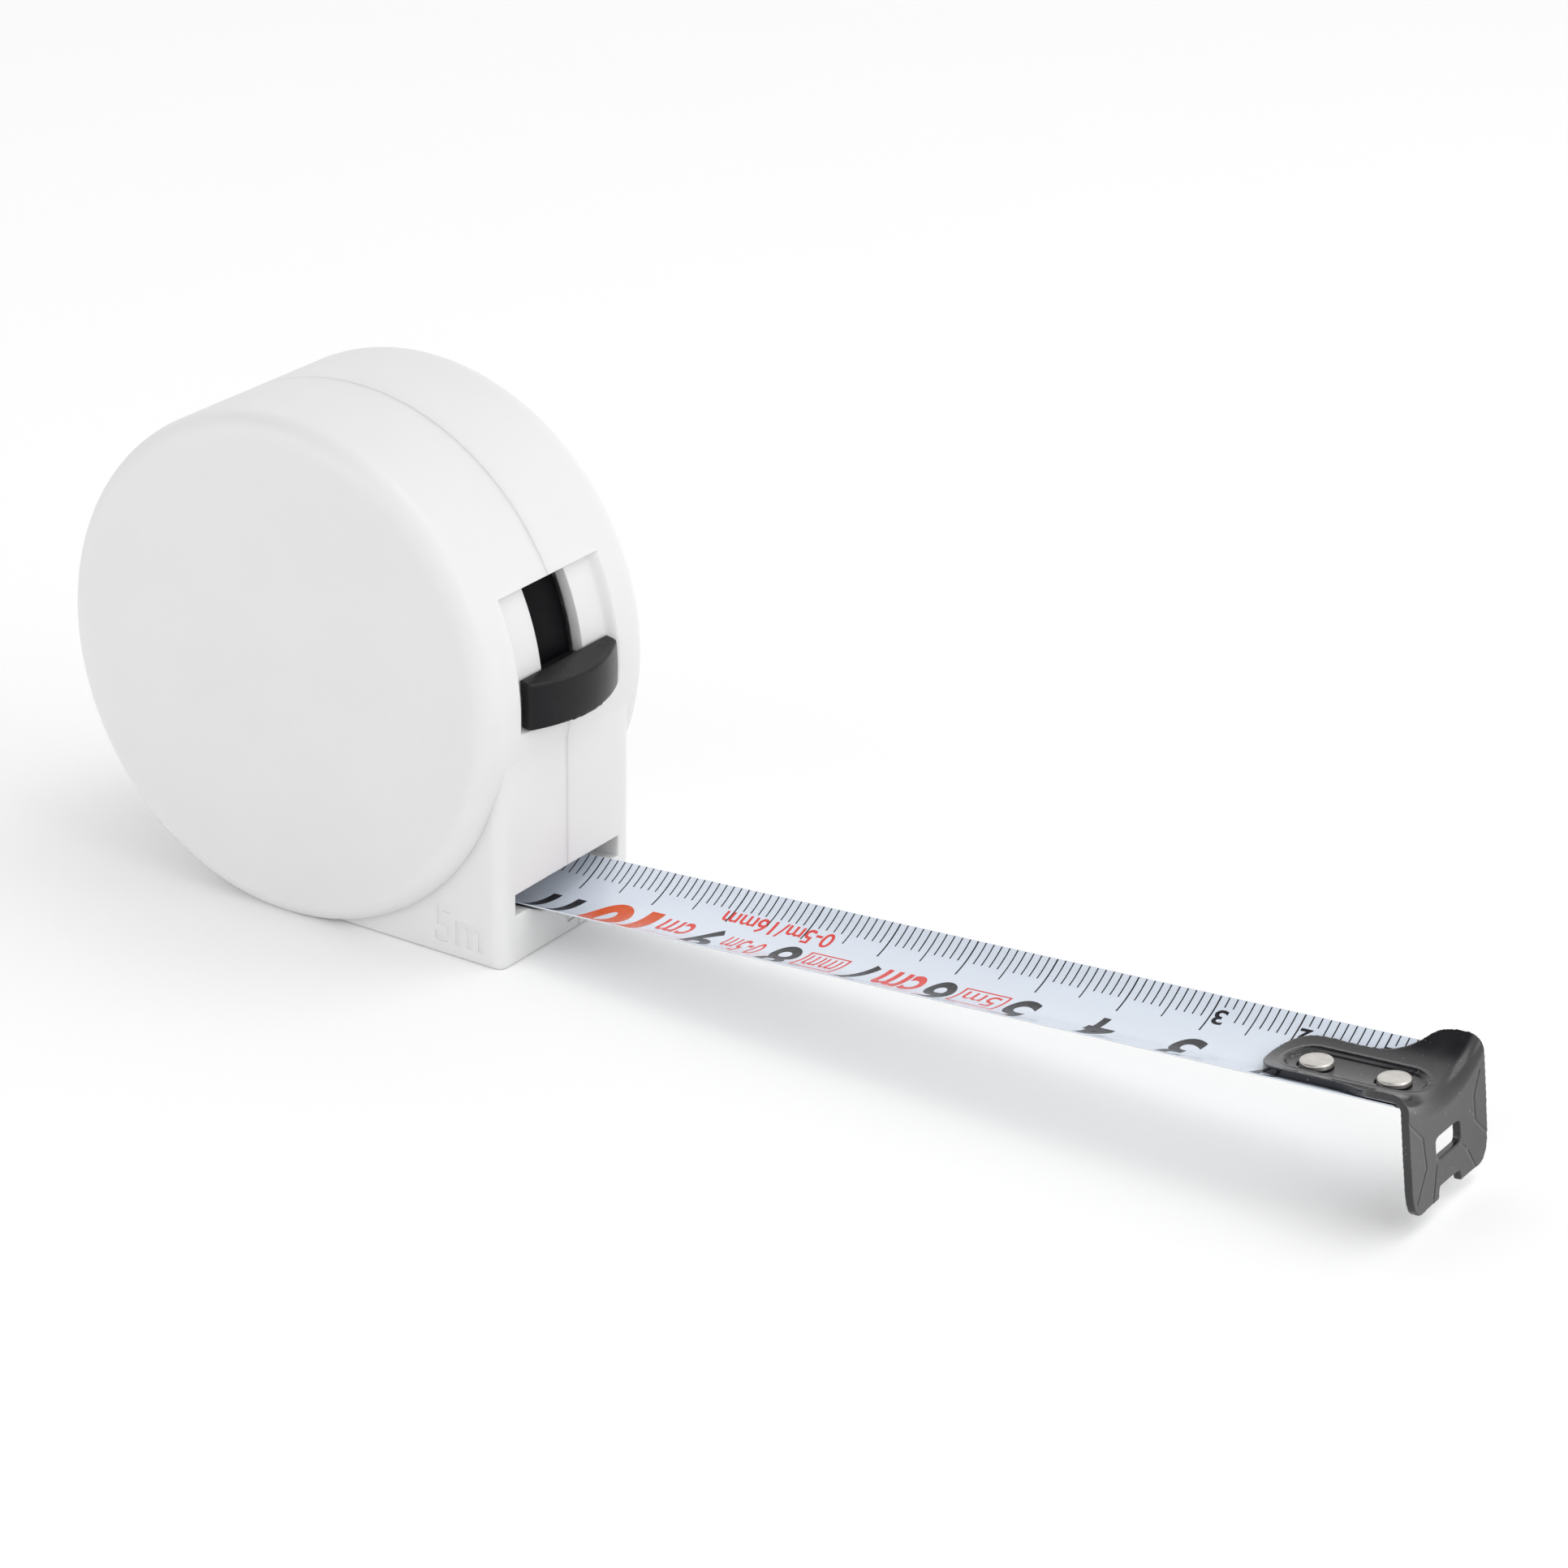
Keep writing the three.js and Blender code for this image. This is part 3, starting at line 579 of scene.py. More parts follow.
def build_case():
    whole = combine(drum(), foot(), "UNION")
    cut(whole, block(-REACH, REACH, -20, 20, -8, 0))
    cavity = rod(CAVITY_R, -CAVITY_HALF_W, CAVITY_HALF_W, 128)
    for name, boss in SCREWS.items():
        if boss:
            x, z = screw_place(name)
            cut(cavity, rod(BOSS_R, -14, 14, 32, x, z))
    for y0, y1 in ((-14, -10.6), (10.6, 14)):
        cut(cavity, rod(4.4, y0, y1, 48))
    cut(whole, cavity)
    for y0, y1 in ((-13, -10), (10, 13)):
        cut(whole, rod(POST_R + 0.2, y0, y1, 48))
    lean = math.tan(PITCH)
    cut(whole, bladewise(mouth_outline(), [
        (-24, 0, 0), (-0.28, 0, lean), (-0.15, 0.03, lean), (-0.06, 0.09, lean), (0.02, 0.24, lean),
        (3, 0.24, lean)]))
    slot_low = RECESS_LOW + 0.2
    slot_outline = arc(26, slot_low, RECESS_HIGH, 24) + arc(31.5, RECESS_HIGH, slot_low, 24)
    cut(whole, slab(slot_outline, -SLOT_HALF_W, SLOT_HALF_W))
    mark = label("5m", (6.7, 4.5), 0.11)
    mark.data.transform(Matrix.Translation((20.2, -FOOT_HALF_W, 1.55)) @ Matrix.Rotation(rad(90), 4, "X"))
    cut(whole, mark)
    for name, boss in SCREWS.items():
        x, z = screw_place(name)
        cut(whole, rod(SCREW_HOLE_R, -10.4, 14, 24, x, z))
        cut(whole, screw_well(14.8 if boss else 12.3, x, z))
    cut(whole, rod(SCREW_HOLE_R, 12, 16, 24))
    cut(whole, screw_well(14.8, floor_y=13.6))
    rear = bpy.data.objects.new("work", whole.data.copy())
    bpy.context.scene.collection.objects.link(rear)
    # The halves meet at y = 0; at the base the front one laps 2 mm under the other.
    lap = block(-REACH, REACH, -SEAM, 30, 1.4, 80)
    combine(lap, block(-REACH - 1, REACH + 1, 2.0, 31, -10, 1.5), "UNION")
    cut(whole, lap)
    lap = block(-REACH, REACH, -30, SEAM, -10, 80)
    combine(lap, block(-REACH - 1, REACH + 1, -31, 2.2, -11, 1.6), "UNION")
    cut(rear, lap)
    finish_piece(whole, "front_shell", "case", case_look.material, ("case_front_half",),
                 28, True)
    finish_piece(rear, "back_shell", "case", case_look.material, ("case_back_half",),
                 28, True)


build_case()


# ------------------------------------------------------------------ screws and post
def screw(name, low, tip, top):
    """A cross-head screw along Y: its seat, its tip and the top of its head."""
    x, z = screw_place(name)
    profile = [(0, tip), (0.5, tip)]
    y = tip + 0.6
    while y < low - 0.6 and tip < 0:
        profile += [(0.72, y), (0.95, y + 0.28), (0.72, y + 0.56)]
        y += 0.8
    profile += [(0.8, low), (SCREW_HEAD_R, low), (SCREW_HEAD_R, top - 0.45), (1.8, top - 0.2),
                (1.55, top - 0.05), (1.3, top), (0, top)]
    body = turned(profile, 40, x, z)
    for w, d in ((1.25, 0.24), (0.24, 1.25)):
        loops = []
        for y, k in ((top - 0.75, 0.7), (top + 0.5, 1.15)):
            loops.append([(x - w * k, y, z - d * k), (x + w * k, y, z - d * k),
                          (x + w * k, y, z + d * k), (x - w * k, y, z + d * k)])
        cut(body, loft(loops))
    finish_piece(body, name.replace("case_", "") + "_detailed", "case", screw_look.material,
                 (name,), 30)


for name in SCREWS:
    screw(name, LOW_SEAT, -9.5, 12.3)
screw("case_screw_centre", HIGH_SEAT, 4, 14.8)

axle = turned([(0, -12.7), (POST_R - 0.3, -12.7), (POST_R, -12.4), (POST_R, 12.4), (POST_R - 0.3, 12.7),
               (0, 12.7)], 64)
cut(axle, block(-0.4, 0.4, -8, 2.5, AXIS_Z - 5, AXIS_Z + 0.9))
cut(axle, rod(SCREW_HOLE_R, 3.4, 14, 24))
finish_piece(axle, "post_turned", "case", post_look.material, ("centre_post",), 30)

# ------------------------------------------------------------------ reel
F, E = 8.6, 9.4      # inner and outer face of each flange, from the middle plane
BORE_R, HUB_R, HUB_WALL = 3.1, 13.2, 1.0


def lightened(obj, y0, y1):
    """Six round holes through a flange."""
    for i in range(6):
        a = rad(60 * i + 20)
        cut(obj, rod(2.1, y0, y1, 24, 8.3 * math.cos(a), AXIS_Z + 8.3 * math.sin(a)))


hub = turned([(BORE_R, -E), (FLANGE_R - 0.3, -E), (FLANGE_R, -E + 0.25), (FLANGE_R, -F - 0.15),
              (FLANGE_R - 0.15, -F), (HUB_R, -F), (HUB_R, F - 0.2), (HUB_R - HUB_WALL, F - 0.2),
              (HUB_R - HUB_WALL, -F + 0.4), (4.4, -F + 0.4), (4.4, -F + 1.4), (BORE_R, -F + 1.4)],
             120, closed_ring=True)
lightened(hub, -E - 1, -F + 1.1)
finish_piece(hub, "reel_hub", "reel", reel_look.material, ("reel_drum",), 30)
cover = turned([(BORE_R, F), (FLANGE_R - 0.15, F), (FLANGE_R, F + 0.15), (FLANGE_R, E - 0.25),
                (FLANGE_R - 0.3, E), (BORE_R, E)], 120, closed_ring=True)
lightened(cover, F - 1, E + 1)
finish_piece(cover, "reel_cover_disc", "reel", reel_look.material, ("reel_cover",), 30)

COIL_CORE_R, COIL_TURNS = 13.4, 18
rings = []
for i in range(COIL_TURNS):
    r0, r1 = (COIL_CORE_R + (COIL_R - COIL_CORE_R) * k / COIL_TURNS for k in (i, i + 1))
    w = COIL_HALF_W - (0.0, 0.06, 0.02, 0.09)[i % 4]
    rings += [(r0, w - 0.3), (r0 + 0.05, w), (r1 - 0.05, w)]
coil = [(r, -y) for r, y in rings] + [(COIL_R, -COIL_HALF_W + 0.3), (COIL_R, COIL_HALF_W - 0.3)] + rings[::-1]
finish_piece(turned(coil, 120, closed_ring=True), "wound_blade", "reel", blade_look.material,
             ("tape_coil",), 30)

SPRING_R, SPRING_GROWTH, SPRING_T, SPRING_HALF_W = 3.2, 8.0, 0.5, 6.8
outer, inner = [], []
per_turn, rounds = 64, 5
for i in range(per_turn * rounds + 1):
    a = 2 * math.pi * i / per_turn
    r = SPRING_R + SPRING_GROWTH * i / (per_turn * rounds)
    outer.append(((r + SPRING_T) * math.cos(a), AXIS_Z + (r + SPRING_T) * math.sin(a)))
    inner.append((r * math.cos(a), AXIS_Z + r * math.sin(a)))
strip = outer + inner[::-1]
n = len(outer)
verts = [(x, y, z) for y in (-SPRING_HALF_W, SPRING_HALF_W) for x, z in strip]
faces = []
for first in (0, 2 * n):
    for i in range(n - 1):
        faces.append(tuple(first + k for k in (i, i + 1, 2 * n - 2 - i, 2 * n - 1 - i)))
for i in range(2 * n):
    j = (i + 1) % (2 * n)
    faces.append((i, j, 2 * n + j, 2 * n + i))
finish_piece(temp(verts, faces), "spring_spiral", "reel", spring_look.material,
             ("power_spring",), 30)


# ------------------------------------------------------------------ blade
def strip_mesh(stations, columns=40):
    """A curved strip; each station is (x, z, heading, how far it is troughed)."""
    loops = []
    for x, z, heading, share in stations:
        k = max(share, 0.001) / TROUGH_R
        top, low = [], []
        for c in range(columns + 1):
            w = -BLADE_W / 2 + BLADE_W * c / columns
            n = (1 - math.cos(w * k)) / k
            y = math.sin(w * k) / k
            edge = BLADE_W / 2 - abs(w)
            t = BLADE_T if edge > 0.1 else BLADE_T * (0.55 + 4.5 * edge)
            gap = (BLADE_T - t) / 2
            for store, depth in ((top, gap), (low, BLADE_T - gap)):
                m = n - depth * math.cos(w * k)
                store.append((x - math.sin(heading) * m, y + depth * math.sin(w * k),
                              z + math.cos(heading) * m))
        loops.append(top + low[::-1])
    return loft(loops)


def station(s, share=1.0):
    x, _, z = on_blade(s, 0, 0)
    return (x, z, PITCH, share)


def ring_on_blade(radius, s, n, steps=32):
    turns = [2 * math.pi * i / steps for i in range(steps)]
    return [on_blade(s + radius * math.cos(a), radius * math.sin(a), n) for a in turns]


strip_rows = 28
outside = strip_mesh([station(STRIP_S + (BLADE_END_S - STRIP_S) * i / strip_rows)
                      for i in range(strip_rows + 1)])
for s in RIVET_S:
    cut(outside, loft([ring_on_blade(RIVET_HOLE_R, s, n) for n in (-2, 2)]))
finish_piece(outside, "blade_strip", "blade", blade_look.material, ("tape_blade",), 40)
# Faces turned downwards take the painted-shade underside grey.
outside.data.materials.append(underside_shade_look.material)
for p in outside.data.polygons:
    p.material_index = 1 if p.normal.dot(NORMAL) < -0.3 else 0

stations = []
leave = rad(-128)
lift = COIL_R + 0.25
p0 = Vector((lift * math.cos(leave), AXIS_Z + lift * math.sin(leave)))
x0, _, z0 = on_blade(-19, 0, 0)
p2 = Vector((x0 - 9.5 * ALONG.x, z0 - 9.5 * ALONG.z + 0.45))
p3 = Vector((x0, z0))
p1 = p0 + Vector((math.sin(leave), -math.cos(leave))) * -11
for i in range(32):
    t = i / 32
    p = p0 * (1 - t) ** 3 + p1 * 3 * t * (1 - t) ** 2 + p2 * 3 * t * t * (1 - t) + p3 * t ** 3
    q = (p1 - p0) * (1 - t) ** 2 + (p2 - p1) * 2 * t * (1 - t) + (p3 - p2) * t * t
    stations.append((p.x, p.y, math.atan2(q.y, q.x), min(1.0, t * t * 1.2)))
stations += [station(-19), station(STRIP_S - 0.3)]
finish_piece(strip_mesh(stations, 24), "blade_inner_strip", "case", blade_look.material,
             ("tape_inner_run",), 40)


# ------------------------------------------------------------------ print on the blade
INK_LIFTS = (0.012, 0.002)   # top and bottom of the ink, above the blade's hollow face
FIGURE_STEP = 0.45           # figures are split at this step, so that they follow the curve


def on_face(s, w, lift_mm):
    """A point on the blade's hollow face, w along its curve, lifted off it."""
    a = w / TROUGH_R
    r = TROUGH_R - lift_mm
    return on_blade(s, r * math.sin(a), TROUGH_R - r * math.cos(a))


def printed(patches, name, look):
    """Thin closed patches of ink; each patch is a grid of (s, w)."""
    verts, faces = [], []
    for grid in patches:
        start, rows, cols = len(verts), len(grid), len(grid[0])
        for lift_mm in INK_LIFTS:
            verts += [on_face(s, w, lift_mm) for row in grid for s, w in row]
        size = rows * cols
        for r in range(rows - 1):
            for c in range(cols - 1):
                a = start + r * cols + c
                faces.append((a, a + 1, a + cols + 1, a + cols))
                faces.append((a + size, a + size + cols, a + size + cols + 1, a + size + 1))
        ring = [c for c in range(cols)] + [r * cols + cols - 1 for r in range(1, rows)]
        ring += [(rows - 1) * cols + c for c in range(cols - 2, -1, -1)]
        ring += [r * cols for r in range(rows - 2, 0, -1)]
        for i in range(len(ring)):
            a, b = start + ring[i], start + ring[(i + 1) % len(ring)]
            faces.append((b, a, a + size, b + size))
    mesh = bpy.data.meshes.new(name)
    mesh.from_pydata(verts, [], faces)
    obj = bpy.data.objects.new(name, mesh)
    bpy.context.scene.collection.objects.link(obj)
    return finish_print(obj, name, look)


def gather(obj):
    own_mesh(obj)


def finish_print(obj, name, look):
    finish_piece(obj, name, "blade", look.material, (), None)
    gather(obj)
    return obj


def bar(s0, s1, w0, w1):
    steps = max(1, math.ceil(abs(w1 - w0) / 0.6))
    return [[(s0, w0 + (w1 - w0) * i / steps), (s1, w0 + (w1 - w0) * i / steps)] for i in range(steps + 1)]


TICK_TOP = 7.93
ticks = []
for mm in range(4, 119):
    reach = 2.57 if mm % 10 == 0 else 3.37 if mm % 5 == 0 else 4.8
    if any(0 < a - mm <= 2 for a in (10, 20, 30)):
        reach = 6.56
    s, half = ZERO_S - mm, 0.09 if mm % 10 == 0 else 0.075
    ticks.append(bar(s - half, s + half, TICK_TOP, reach))
printed(ticks, "print_ticks", ink_black)


def lettering(items, name, look):
    """Figures of ink; each item is (text, mm where it starts, width, w of its foot, height, boldness)."""
    verts, faces = [], []
    for text, mm, width, foot_w, height, bold in items:
        bm = bmesh.new()
        bm.from_mesh(text_mesh(text, bold, 8))
        bmesh.ops.remove_doubles(bm, verts=bm.verts, dist=1e-5)
        scaled_to(bm.verts, width, height, 0.0)
        level = FIGURE_STEP
        while level < height:
            every = list(bm.verts) + list(bm.edges) + list(bm.faces)
            bmesh.ops.bisect_plane(bm, geom=every, plane_co=(0, level, 0), plane_no=(0, 1, 0), dist=1e-5)
            level += FIGURE_STEP
        bmesh.ops.triangulate(bm, faces=[f for f in bm.faces if len(f.verts) > 4])
        for f in bm.faces:
            if f.normal.z < 0:
                f.normal_flip()
        bm.verts.index_update()
        start, size = len(verts), len(bm.verts)
        for lift_mm in INK_LIFTS:
            verts += [on_face(ZERO_S - mm - v.co.x, foot_w - v.co.y, lift_mm) for v in bm.verts]
        for f in bm.faces:
            k = [v.index for v in f.verts]
            faces.append(tuple(start + i for i in k))
            faces.append(tuple(start + size + i for i in reversed(k)))
        for e in bm.edges:
            if len(e.link_faces) == 1:
                loop = e.link_loops[0]
                a, b = loop.vert.index, loop.link_loop_next.vert.index
                faces.append((start + b, start + a, start + size + a, start + size + b))
        bm.free()
    mesh = bpy.data.meshes.new(name)
    mesh.from_pydata(verts, [], faces)
    obj = bpy.data.objects.new(name, mesh)
    bpy.context.scene.collection.objects.link(obj)
    return finish_print(obj, name, look)


figures = [(str(cm), 10 * cm - 2.3, 3.2, 0.9, 8.1, 0.02) for cm in range(3, 10)]
figures += [("2", 16.9, 3.2, 0.9, 8.1, 0.02)]
figures += [("11", 107.4, 4.6, 0.45, 7.2, 0.04)]
figures += [("1", 9.1, 0.8, 6.2, 2.2, 0.02), ("2", 18.3, 1.4, 6.2, 2.2, 0.02),
            ("3", 28.2, 1.4, 6.2, 2.2, 0.02)]
lettering(figures, "print_figures", ink_black)
lettering([("10", 97.2, 7.8, 1.5, 8.6, 0.05)], "print_ten", ink_orange)
lettering([("5m", 52.3, 4.2, 0.0, 3.2, 0.0), ("0-5m/16mm", 76.2, 14.6, 4.5, 2.6, 0.012),
           ("cm", 61.7, 5.4, 0.8, 5.0, 0.02), ("mm", 72.6, 3.9, 0.0, 3.1, 0.0),
           ("0-5m", 82.3, 4.9, 0.0, 4.6, 0.0), ("cm", 92.2, 4.0, 0.8, 3.6, 0.01)],
          "print_small_red", ink_red)


def frame_box(mm0, mm1, w0, w1, t=0.24):
    a, b = ZERO_S - mm1, ZERO_S - mm0
    return [bar(a, a + t, w0, w1), bar(b - t, b, w0, w1), bar(a + t, b - t, w0, w0 - t),
            bar(a + t, b - t, w1 + t, w1)]


printed(frame_box(51.5, 57.2, 0.6, -4.2) + frame_box(71.9, 77.1, 0.6, -4.4), "print_boxes", ink_red)
gather(bpy.data.objects["blade_strip"])


# ------------------------------------------------------------------ rivets
def rivet(name, s):
    profile = [(0, -0.62), (1.25, -0.62), (1.5, -0.56), (1.6, -0.45), (1.6, -0.28), (1.0, -0.28), (1.0, 0.74),
               (1.74, 0.74), (1.82, 0.8), (1.82, 1.16), (1.79, 1.25), (1.71, 1.32), (1.55, 1.37), (1.1, 1.41),
               (0.5, 1.435), (0, 1.44)]
    loops = [ring_on_blade(max(r, 1e-4), s, n, 72) for r, n in profile]
    finish_piece(loft(loops), name + "_headed", "blade", rivet_look.material, (name,), 35)


rivet("hook_rivet_inner", RIVET_S[0])
rivet("hook_rivet_outer", RIVET_S[1])

# ------------------------------------------------------------------ end hook
HOOK_T, HOOK_GAP, BEND_R, LEAN_DEG = 0.9, 0.1, 1.9, 3.1
PLATE_LOW = -9.9
TAB_END = ZERO_S - 20.2
TAB_ROUND, TAB_POWER = 3.8, 2.15     # length and exponent of the tab's rounded end
POCKET = (ZERO_S - 15.6, ZERO_S - 5.1, 2.55)


def eased(pairs, t):
    """A smooth curve through (place, value) pairs."""
    for (a, va), (b, vb) in zip(pairs, pairs[1:]):
        if t <= b:
            k = (t - a) / (b - a)
            i = pairs.index((a, va))
            before = pairs[max(0, i - 1)]
            after = pairs[min(len(pairs) - 1, i + 2)]
            ma = (vb - before[1]) / max(1e-6, b - before[0]) * (b - a)
            mb = (after[1] - va) / max(1e-6, after[0] - a) * (b - a)
            return ((2 * k ** 3 - 3 * k * k + 1) * va + (k ** 3 - 2 * k * k + k) * ma
                    + (3 * k * k - 2 * k ** 3) * vb + (k ** 3 - k * k) * mb)
    return pairs[-1][1]


# Half widths: of the tab by distance from its end, and of the plate by share of its depth.
TAB_W = [(2.8, 4.6), (5.0, 4.62), (9.4, 4.6), (11.2, 4.9), (12.6, 5.6), (13.8, 6.7), (14.8, 7.8),
         (15.9, 8.35), (18.3, HOOK_HALF_W)]
PLATE_W = [(0, HOOK_HALF_W), (0.5, HOOK_HALF_W), (0.7, 8.55), (0.8, 8.45), (0.88, 8.2), (0.94, 7.8),
           (0.98, 7.2), (1.0, 6.5)]


def hook_rows():
    rows = []
    for i in range(18):
        t = i / 18
        k = 1 - math.cos(rad(90 * t))
        half = 4.6 * (1 - (1 - k) ** TAB_POWER) ** (1 / TAB_POWER)
        rows.append((TAB_END + TAB_ROUND * k, max(0.4, half), 90, 0))
    s = TAB_ROUND
    while s < 18.3:
        rows.append((TAB_END + s, eased(TAB_W, s), 90, 0))
        s += 0.3
    for i in range(13):
        turn = 90 + (-LEAN_DEG - 90) * i / 12
        rows.append((ZERO_S - BEND_R, HOOK_HALF_W, turn, 0))
    for i in range(1, 41):
        t = i / 40
        t = t if t < 0.75 else 0.75 + 0.25 * math.sin(rad(90 * (t - 0.75) / 0.25))
        rows.append((ZERO_S - BEND_R, eased(PLATE_W, t), -LEAN_DEG, t))
    return rows


def pocket_depth(s, y):
    """The pressed pocket with a low bead round it."""
    s0, s1, r = POCKET
    d = math.hypot(max(0.0, s0 - s, s - s1), y) - r
    return -0.38 * (1 - smooth(-0.22, 0.1, d)) + 0.15 * math.exp(-((d - 0.32) / 0.17) ** 2)


def hook_point(row, y, inset):
    s0, _, turn, drop = row
    crown = trough(y) + HOOK_GAP + HOOK_T
    r = BEND_R - inset
    a = rad(turn)
    s = s0 + r * math.cos(a)
    n = crown - BEND_R + r * math.sin(a)
    if drop == 0:
        if inset == 0:
            n += pocket_depth(s, y) * smooth(0.2, 1.2, s - TAB_END)
        return on_blade(s, y, n)
    low = n + (PLATE_LOW - n) * drop
    return on_blade(s + (n - low) * math.tan(rad(LEAN_DEG)), y, low)


def hook_sheet():
    columns = 84
    loops = []
    for row in hook_rows():
        ys = [row[1] * (-1 + 2 * c / columns) for c in range(columns + 1)]
        loops.append([hook_point(row, y, 0) for y in ys] + [hook_point(row, y, HOOK_T) for y in reversed(ys)])
    return loft(loops)


def plate_cut(points):
    loops = [[on_blade(s, y, n) for y, n in points] for s in (ZERO_S - 3, ZERO_S + 5)]
    return loft(loops)


def rounded(points, r, steps=5):
    out = []
    n = len(points)
    for i in range(n):
        p, q, t = Vector(points[i - 1]), Vector(points[i]), Vector(points[(i + 1) % n])
        a, b = (p - q).normalized(), (t - q).normalized()
        k = min(r, (p - q).length * 0.45, (t - q).length * 0.45)
        for j in range(steps + 1):
            u = j / steps
            out.append(tuple(q + a * k * (1 - u) ** 2 + b * k * u * u))
    return out


hook = hook_sheet()
for s in RIVET_S:
    points = []
    for centre, start in ((s - 1.0, 90), (s + 0.05, -90)):
        for i in range(13):
            a = rad(start + 15 * i)
            points.append((centre + RIVET_HOLE_R * math.cos(a), RIVET_HOLE_R * math.sin(a)))
    cut(hook, loft([[on_blade(u, v, n) for u, v in points] for n in (-1, 2.5)]))
WINDOW = [(-2.65, -5.6), (2.65, -5.6), (2.65, -3.15), (-2.65, -3.15)]
NOTCH = [(-3.4, -13), (3.4, -13), (2.3, -9.3), (2.2, -8.65), (-2.2, -8.65), (-2.3, -9.3)]
cut(hook, plate_cut(rounded(WINDOW, 0.7)))
cut(hook, plate_cut(rounded(NOTCH, 0.6)))
remesh(hook, 0.1, 6)

# Fine pressed lines across the plate, as polylines in y and height n.
CREASES = [
    [(-8.9, 1.3), (-5.5, -1.9), (-5.0, -5.3), (-7.5, -8.3)],
    [(7.3, 0.5), (5.9, -1.8), (6.0, -4.6), (9.0, -7.6)],
    [(-2.75, -5.95), (-3.0, -6.8), (-4.1, -10.5)],
    [(2.75, -5.95), (4.0, -7.0), (6.2, -10.5)],
]


def to_segment(p, a, b):
    ab = b - a
    t = max(0.0, min(1.0, (p - a).dot(ab) / ab.length_squared))
    return (p - a - ab * t).length


segments = [(Vector(a), Vector(b)) for line in CREASES for a, b in zip(line, line[1:])]
origin = Vector(on_blade(0, 0, 0))
# Painted shade mask: it darkens the paint along the pressed lines in place of the grooves' shade, and the
# same amount sinks the surface 0.07 mm there.
crease_shade = hook.data.attributes.new("crease_shade", "FLOAT", "POINT")
moves = []
for i, v in enumerate(hook.data.vertices):
    rel = v.co - origin
    s, n = rel.dot(ALONG), rel.dot(NORMAL)
    front = v.normal.dot(ALONG)
    amount = 0.0
    if s > ZERO_S - 0.6 and front > 0.6 and n < 2.4:
        p = Vector((v.co.y, n))
        d = min(to_segment(p, a, b) for a, b in segments)
        amount = math.exp(-(d / 0.11) ** 2)
    crease_shade.data[i].value = amount
    moves.append(v.normal * -0.07 * amount)
for v, m in zip(hook.data.vertices, moves):
    v.co += m
finish_piece(hook, "hook_pressed", "hook", hook_look.material, ("end_hook",), None)
shade_smooth(hook)


# ------------------------------------------------------------------ lock
def button():
    """Thumb bar with a bowed front and a sloping top, on a short neck."""
    low, high, half = -3.3, 7.8, 8.3
    loops = []
    columns, rows = 48, 10
    for c in range(columns + 1):
        k = -1 + 2 * c / columns
        y = half * k
        bow = 30.4 + 2.1 * (1 - k * k)
        face = []
        for r in range(rows + 1):
            a = rad(low + (high - 0.9 - 1.3 * (1 - k * k) - low) * r / rows)
            face.append(((bow + 0.1) * math.cos(a), y, AXIS_Z + (bow + 0.1) * math.sin(a)))
        back = []
        for r in range(rows + 1):
            a = rad(high + (low - high) * r / rows)
            back.append((29.2 * math.cos(a), y, AXIS_Z + 29.2 * math.sin(a)))
        loops.append(face + back)
    bar_ = loft(loops)
    neck = slab(arc(27.5, 7.0, -2.7, 8) + arc(29.7, -2.7, 7.0, 8), -3.5, 3.5)
    combine(bar_, neck, "UNION")
    remesh(bar_, 0.16, 6, 0.6)
    finish_piece(bar_, "lock_thumb_bar", "lock", lock_look.material, ("lock_button",), None)
    shade_smooth(bar_)


button()
strip_outline = arc(27.3, 29, -24, 60) + arc(26.5, -24.6, -76, 60) + arc(25.7, -76, 29, 110)
finish_piece(slab(strip_outline, -3.75, 3.75, 0.08, 2), "lock_slide_strip", "lock", slide_look.material,
             ("lock_slider",), 35)
pad_outline = arc(26.65, -75, -69, 12) + arc(27.2, -69, -75, 12)
finish_piece(slab(pad_outline, -2.2, 2.2, 0.12, 3), "brake_pad_moulded", "lock", pad_look.material,
             ("brake_pad",), 35)

# ------------------------------------------------------------------ floor, light, camera
bpy.ops.mesh.primitive_plane_add(size=6, location=(0, 0, 0))
floor = bpy.context.object
floor.name = "floor"
floor_look = Look("floor_paper", (0.96, 0.96, 0.96), 0.9)
floor_look.set("Base Color", floor_look.colours(floor_look.noise(0.02, 3),
                                                (0.975, 0.975, 0.975), (0.985, 0.985, 0.985)))
floor.data.materials.append(floor_look.material)

world = bpy.data.worlds.new("studio")
bpy.context.scene.world = world
world.use_nodes = True
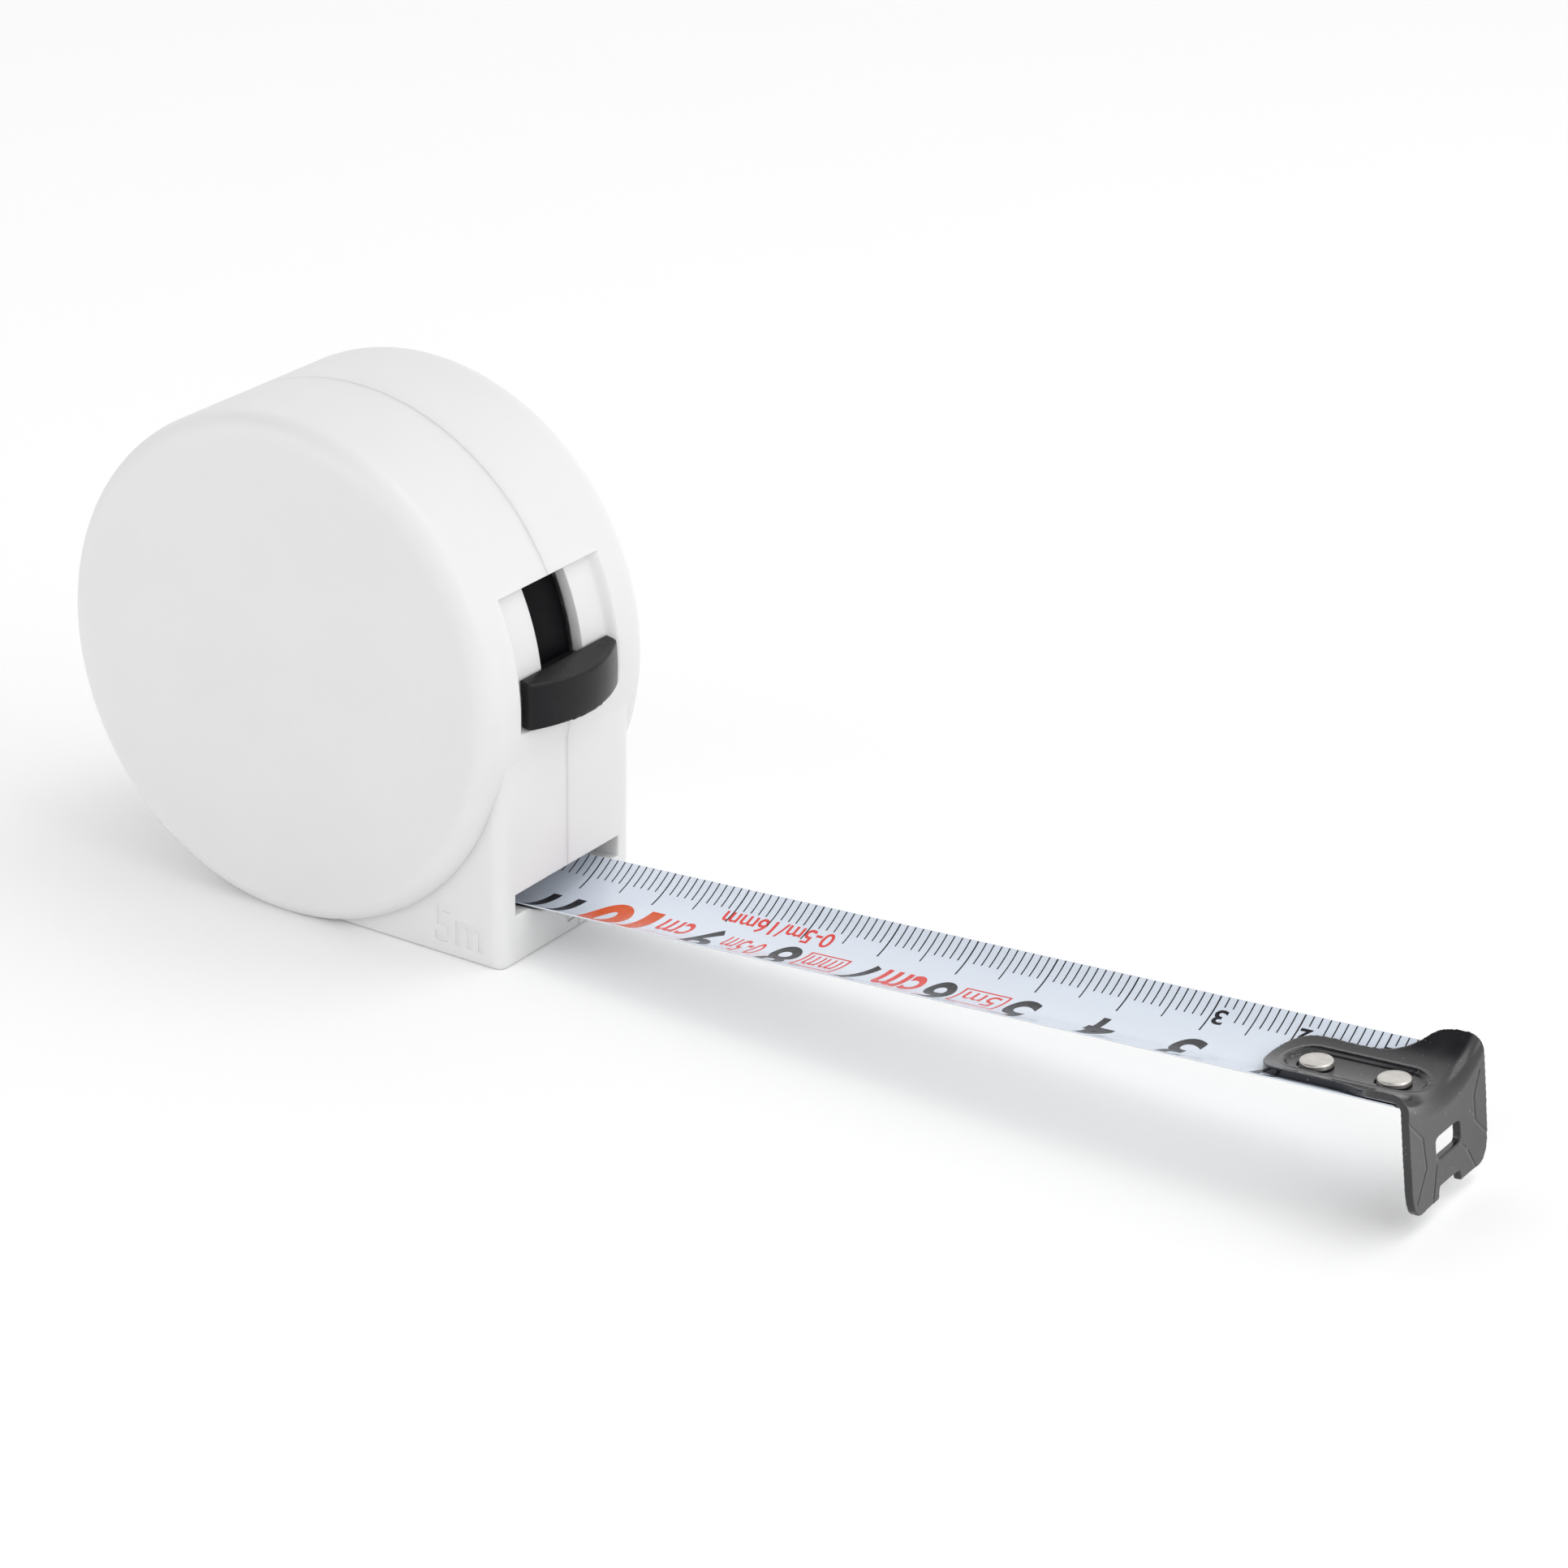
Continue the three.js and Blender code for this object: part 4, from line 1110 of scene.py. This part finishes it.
# A dim patch of ceiling, so that gloss has something dark to reflect.
wt = world.node_tree
sky = wt.nodes.new("ShaderNodeTexCoord")
toward = wt.nodes.new("ShaderNodeVectorMath")
toward.operation = "DOT_PRODUCT"
toward.inputs[1].default_value = Vector((-0.47, -0.2, 0.86)).normalized()
wt.links.new(sky.outputs["Generated"], toward.inputs[0])
dim = wt.nodes.new("ShaderNodeMapRange")
dim.interpolation_type = "SMOOTHSTEP"
for key, value in zip(("From Min", "From Max", "To Min", "To Max"), (0.80, 0.94, 1.0, 0.04)):
    dim.inputs[key].default_value = value
wt.links.new(toward.outputs["Value"], dim.inputs["Value"])
wt.links.new(dim.outputs[0], wt.nodes["Background"].inputs["Color"])
world.node_tree.nodes["Background"].inputs["Strength"].default_value = 1.09


def lamp(name, place, aim, size, power):
    data = bpy.data.lights.new(name, "AREA")
    data.shape, data.size, data.size_y, data.energy = "RECTANGLE", size[0], size[1], power
    obj = bpy.data.objects.new(name, data)
    obj.location = place
    obj.rotation_mode = "QUATERNION"
    obj.rotation_quaternion = (Vector(aim) - Vector(place)).to_track_quat("-Z", "Y")
    bpy.context.scene.collection.objects.link(obj)


target = (0.045, 0, 0.01)
lamp("softbox_top", (0.28, 0.24, 0.72), target, (0.4, 0.4), 0.75)
lamp("softbox_right", (0.75, -0.05, 0.42), target, (0.4, 0.4), 0.8)
lamp("softbox_front", (-0.45, -0.7, 0.3), target, (0.6, 0.5), 0.75)

# The photograph's viewing angle, in degrees, and where its lens stands, in metres.
VIEW_AZIMUTH, VIEW_ELEVATION, VIEW_ROLL = 33.164, 23.967, 0.994
VIEW_PLACE = (0.32339, -0.40561, 0.24131)


def turn_about(axis, degrees):
    return Matrix.Rotation(math.radians(degrees), 4, axis)


camera = bpy.data.cameras.new("photo_view")
camera.sensor_width, camera.lens = 36, 112.65
camera.clip_start, camera.clip_end = 0.01, 20
eye = bpy.data.objects.new("photo_view", camera)
tilt = turn_about("X", 90 - VIEW_ELEVATION) @ turn_about("Z", VIEW_ROLL)
eye.matrix_world = Matrix.Translation(VIEW_PLACE) @ turn_about("Z", VIEW_AZIMUTH) @ tilt
bpy.context.scene.collection.objects.link(eye)
bpy.context.scene.camera = eye
bpy.context.scene.view_settings.view_transform = "Standard"
